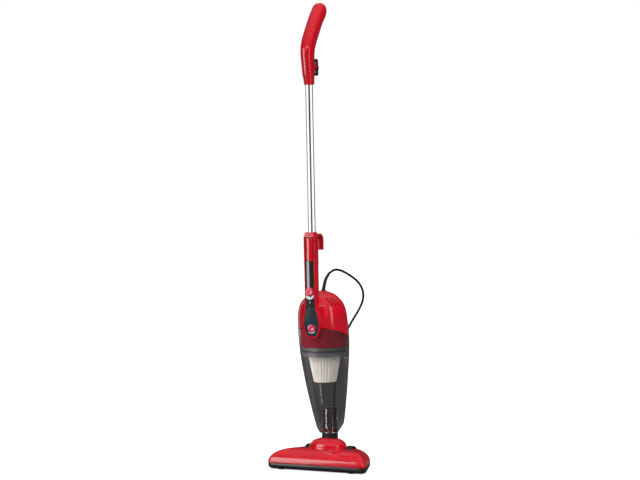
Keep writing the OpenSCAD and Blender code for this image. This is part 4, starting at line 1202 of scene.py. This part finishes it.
def make_stage():
    bm = bmesh.new()
    corners = [bm.verts.new(p) for p in ((-30, -30, 0), (30, -30, 0), (30, 30, 0), (-30, 30, 0))]
    bm.faces.new(corners)
    mesh = bpy.data.meshes.new("floor")
    bm.to_mesh(mesh)
    bm.free()
    g = Graph("floor_white")
    g.colour(g.ramp(g.noise(1.5, 2), [(0.3, (0.90, 0.90, 0.90)), (0.7, (0.93, 0.93, 0.93))]))
    g.set("Roughness", 0.9)
    g.set("Specular IOR Level", 0.1)
    g.set("Emission Color", (1, 1, 1, 1))
    g.set("Emission Strength", 0.55)
    dim = g.add("ShaderNodeBsdfDiffuse")
    dim.inputs["Color"].default_value = (0.11, 0.11, 0.11, 1)
    mix = g.add("ShaderNodeMixShader")
    output = [n for n in g.nodes if n.type == "OUTPUT_MATERIAL"][0]
    g.links.new(g.add("ShaderNodeLightPath").outputs["Is Camera Ray"], mix.inputs[0])
    g.links.new(dim.outputs[0], mix.inputs[1])
    g.links.new(g.shader.outputs[0], mix.inputs[2])
    g.links.new(mix.outputs[0], output.inputs["Surface"])
    mesh.materials.append(g.mat)
    obj = bpy.data.objects.new("floor", mesh)
    obj.location.z = -0.0004
    bpy.context.scene.collection.objects.link(obj)


CAMERA_TURN = math.radians(25)


def around(turn, distance, z):
    """A place round the object, with turn in degrees from the camera's side towards its right."""
    a = CAMERA_TURN + math.radians(turn)
    return Vector((distance * math.sin(a), -distance * math.cos(a), z))


def make_light(name, place, target, size, power, colour=(1, 1, 1)):
    data = bpy.data.lights.new(name, "AREA")
    data.shape = "RECTANGLE"
    data.size, data.size_y = size
    data.energy = power
    data.color = colour
    obj = bpy.data.objects.new(name, data)
    obj.location = place
    obj.rotation_euler = (Vector(target) - Vector(place)).to_track_quat("-Z", "Y").to_euler()
    bpy.context.scene.collection.objects.link(obj)
    return obj


def make_world():
    """A white room to look at; the object is lit by a brighter ceiling over darker walls."""
    world = bpy.data.worlds.new("studio")
    world.use_nodes = True
    nodes, links = world.node_tree.nodes, world.node_tree.links
    coords = nodes.new("ShaderNodeTexCoord")
    split = nodes.new("ShaderNodeSeparateXYZ")
    links.new(coords.outputs["Generated"], split.inputs["Vector"])
    ramp = nodes.new("ShaderNodeValToRGB")
    ramp.color_ramp.elements[0].position = 0.02
    ramp.color_ramp.elements[0].color = (0.035, 0.035, 0.035, 1)
    ramp.color_ramp.elements[1].position = 0.95
    ramp.color_ramp.elements[1].color = (0.50, 0.50, 0.50, 1)
    middle = ramp.color_ramp.elements.new(0.5)
    middle.color = (0.075, 0.075, 0.075, 1)
    links.new(split.outputs["Z"], ramp.inputs["Fac"])
    path = nodes.new("ShaderNodeLightPath")
    mix = nodes.new("ShaderNodeMix")
    mix.data_type = "RGBA"
    colours = [i for i in mix.inputs if i.type == "RGBA"]
    links.new(path.outputs["Is Camera Ray"], mix.inputs["Factor"])
    links.new(ramp.outputs["Color"], colours[0])
    colours[1].default_value = (1, 1, 1, 1)
    background = nodes["Background"]
    links.new([o for o in mix.outputs if o.type == "RGBA"][0], background.inputs["Color"])
    background.inputs["Strength"].default_value = 1.0
    bpy.context.scene.world = world


def make_sun(name, turn, height, power):
    """Even light without a highlight of its own."""
    data = bpy.data.lights.new(name, "SUN")
    data.energy = power
    data.angle = math.radians(50)
    obj = bpy.data.objects.new(name, data)
    obj.rotation_euler = (-around(turn, 1, height)).to_track_quat("-Z", "Y").to_euler()
    obj.visible_glossy = False
    bpy.context.scene.collection.objects.link(obj)
    return obj


def linked_to(name, object_name, state):
    """A collection that includes or excludes one object, for a light's linking."""
    group = bpy.data.collections.new(name)
    group.objects.link(bpy.data.objects[object_name])
    group.collection_objects[0].light_linking.link_state = state
    return group


make_stage()
make_world()
make_sun("fill_right", 42, 0.7, 1.9)
fill_front = make_sun("fill_front", -15, 1.0, 0.5)
make_sun("fill_back", 175, 1.2, 0.8)
strip_right = make_light("strip_right", around(44, 2.2, 0.75), (0, 0, 0.55), (0.26, 1.7), 6)
strip_middle = make_light("strip_middle", around(20, 3.0, 0.85), (0, 0, 0.5), (0.10, 1.2), 1.0)
wide_left = make_light("wide_left", around(-59, 2.4, 0.8), (0, 0, 0.5), (0.8, 1.9), 27)
make_light("rim_left", around(-142, 2.2, 0.8), (0, 0, 0.5), (0.7, 1.6), 3, (1, 0.80, 0.72))
front_top = make_light("front_top", around(-10, 2.0, 1.9), (0, 0, 0.1), (2.2, 0.35), 5.5)

# two cards light only the rod, and the dark gap between them is its dark middle line
rod_only = linked_to("rod_only", "polished_rod", "INCLUDE")
for turn in (-62, 62):
    card = make_light("rod_card", around(turn, 1.6, 0.9), (0, 0, 0.8), (2.5, 2.2), 20)
    card.light_linking.receiver_collection = rod_only
off_the_rod = linked_to("off_the_rod", "polished_rod", "EXCLUDE")
for light in (strip_right, strip_middle, wide_left, front_top):
    light.light_linking.receiver_collection = off_the_rod

# the clear cup casts no shadow in these, so they reach the filter inside it
past_the_cup = linked_to("past_the_cup", "clear_cup", "EXCLUDE")
for light in (wide_left, fill_front):
    light.light_linking.blocker_collection = past_the_cup
bpy.context.scene.view_settings.view_transform = "Standard"
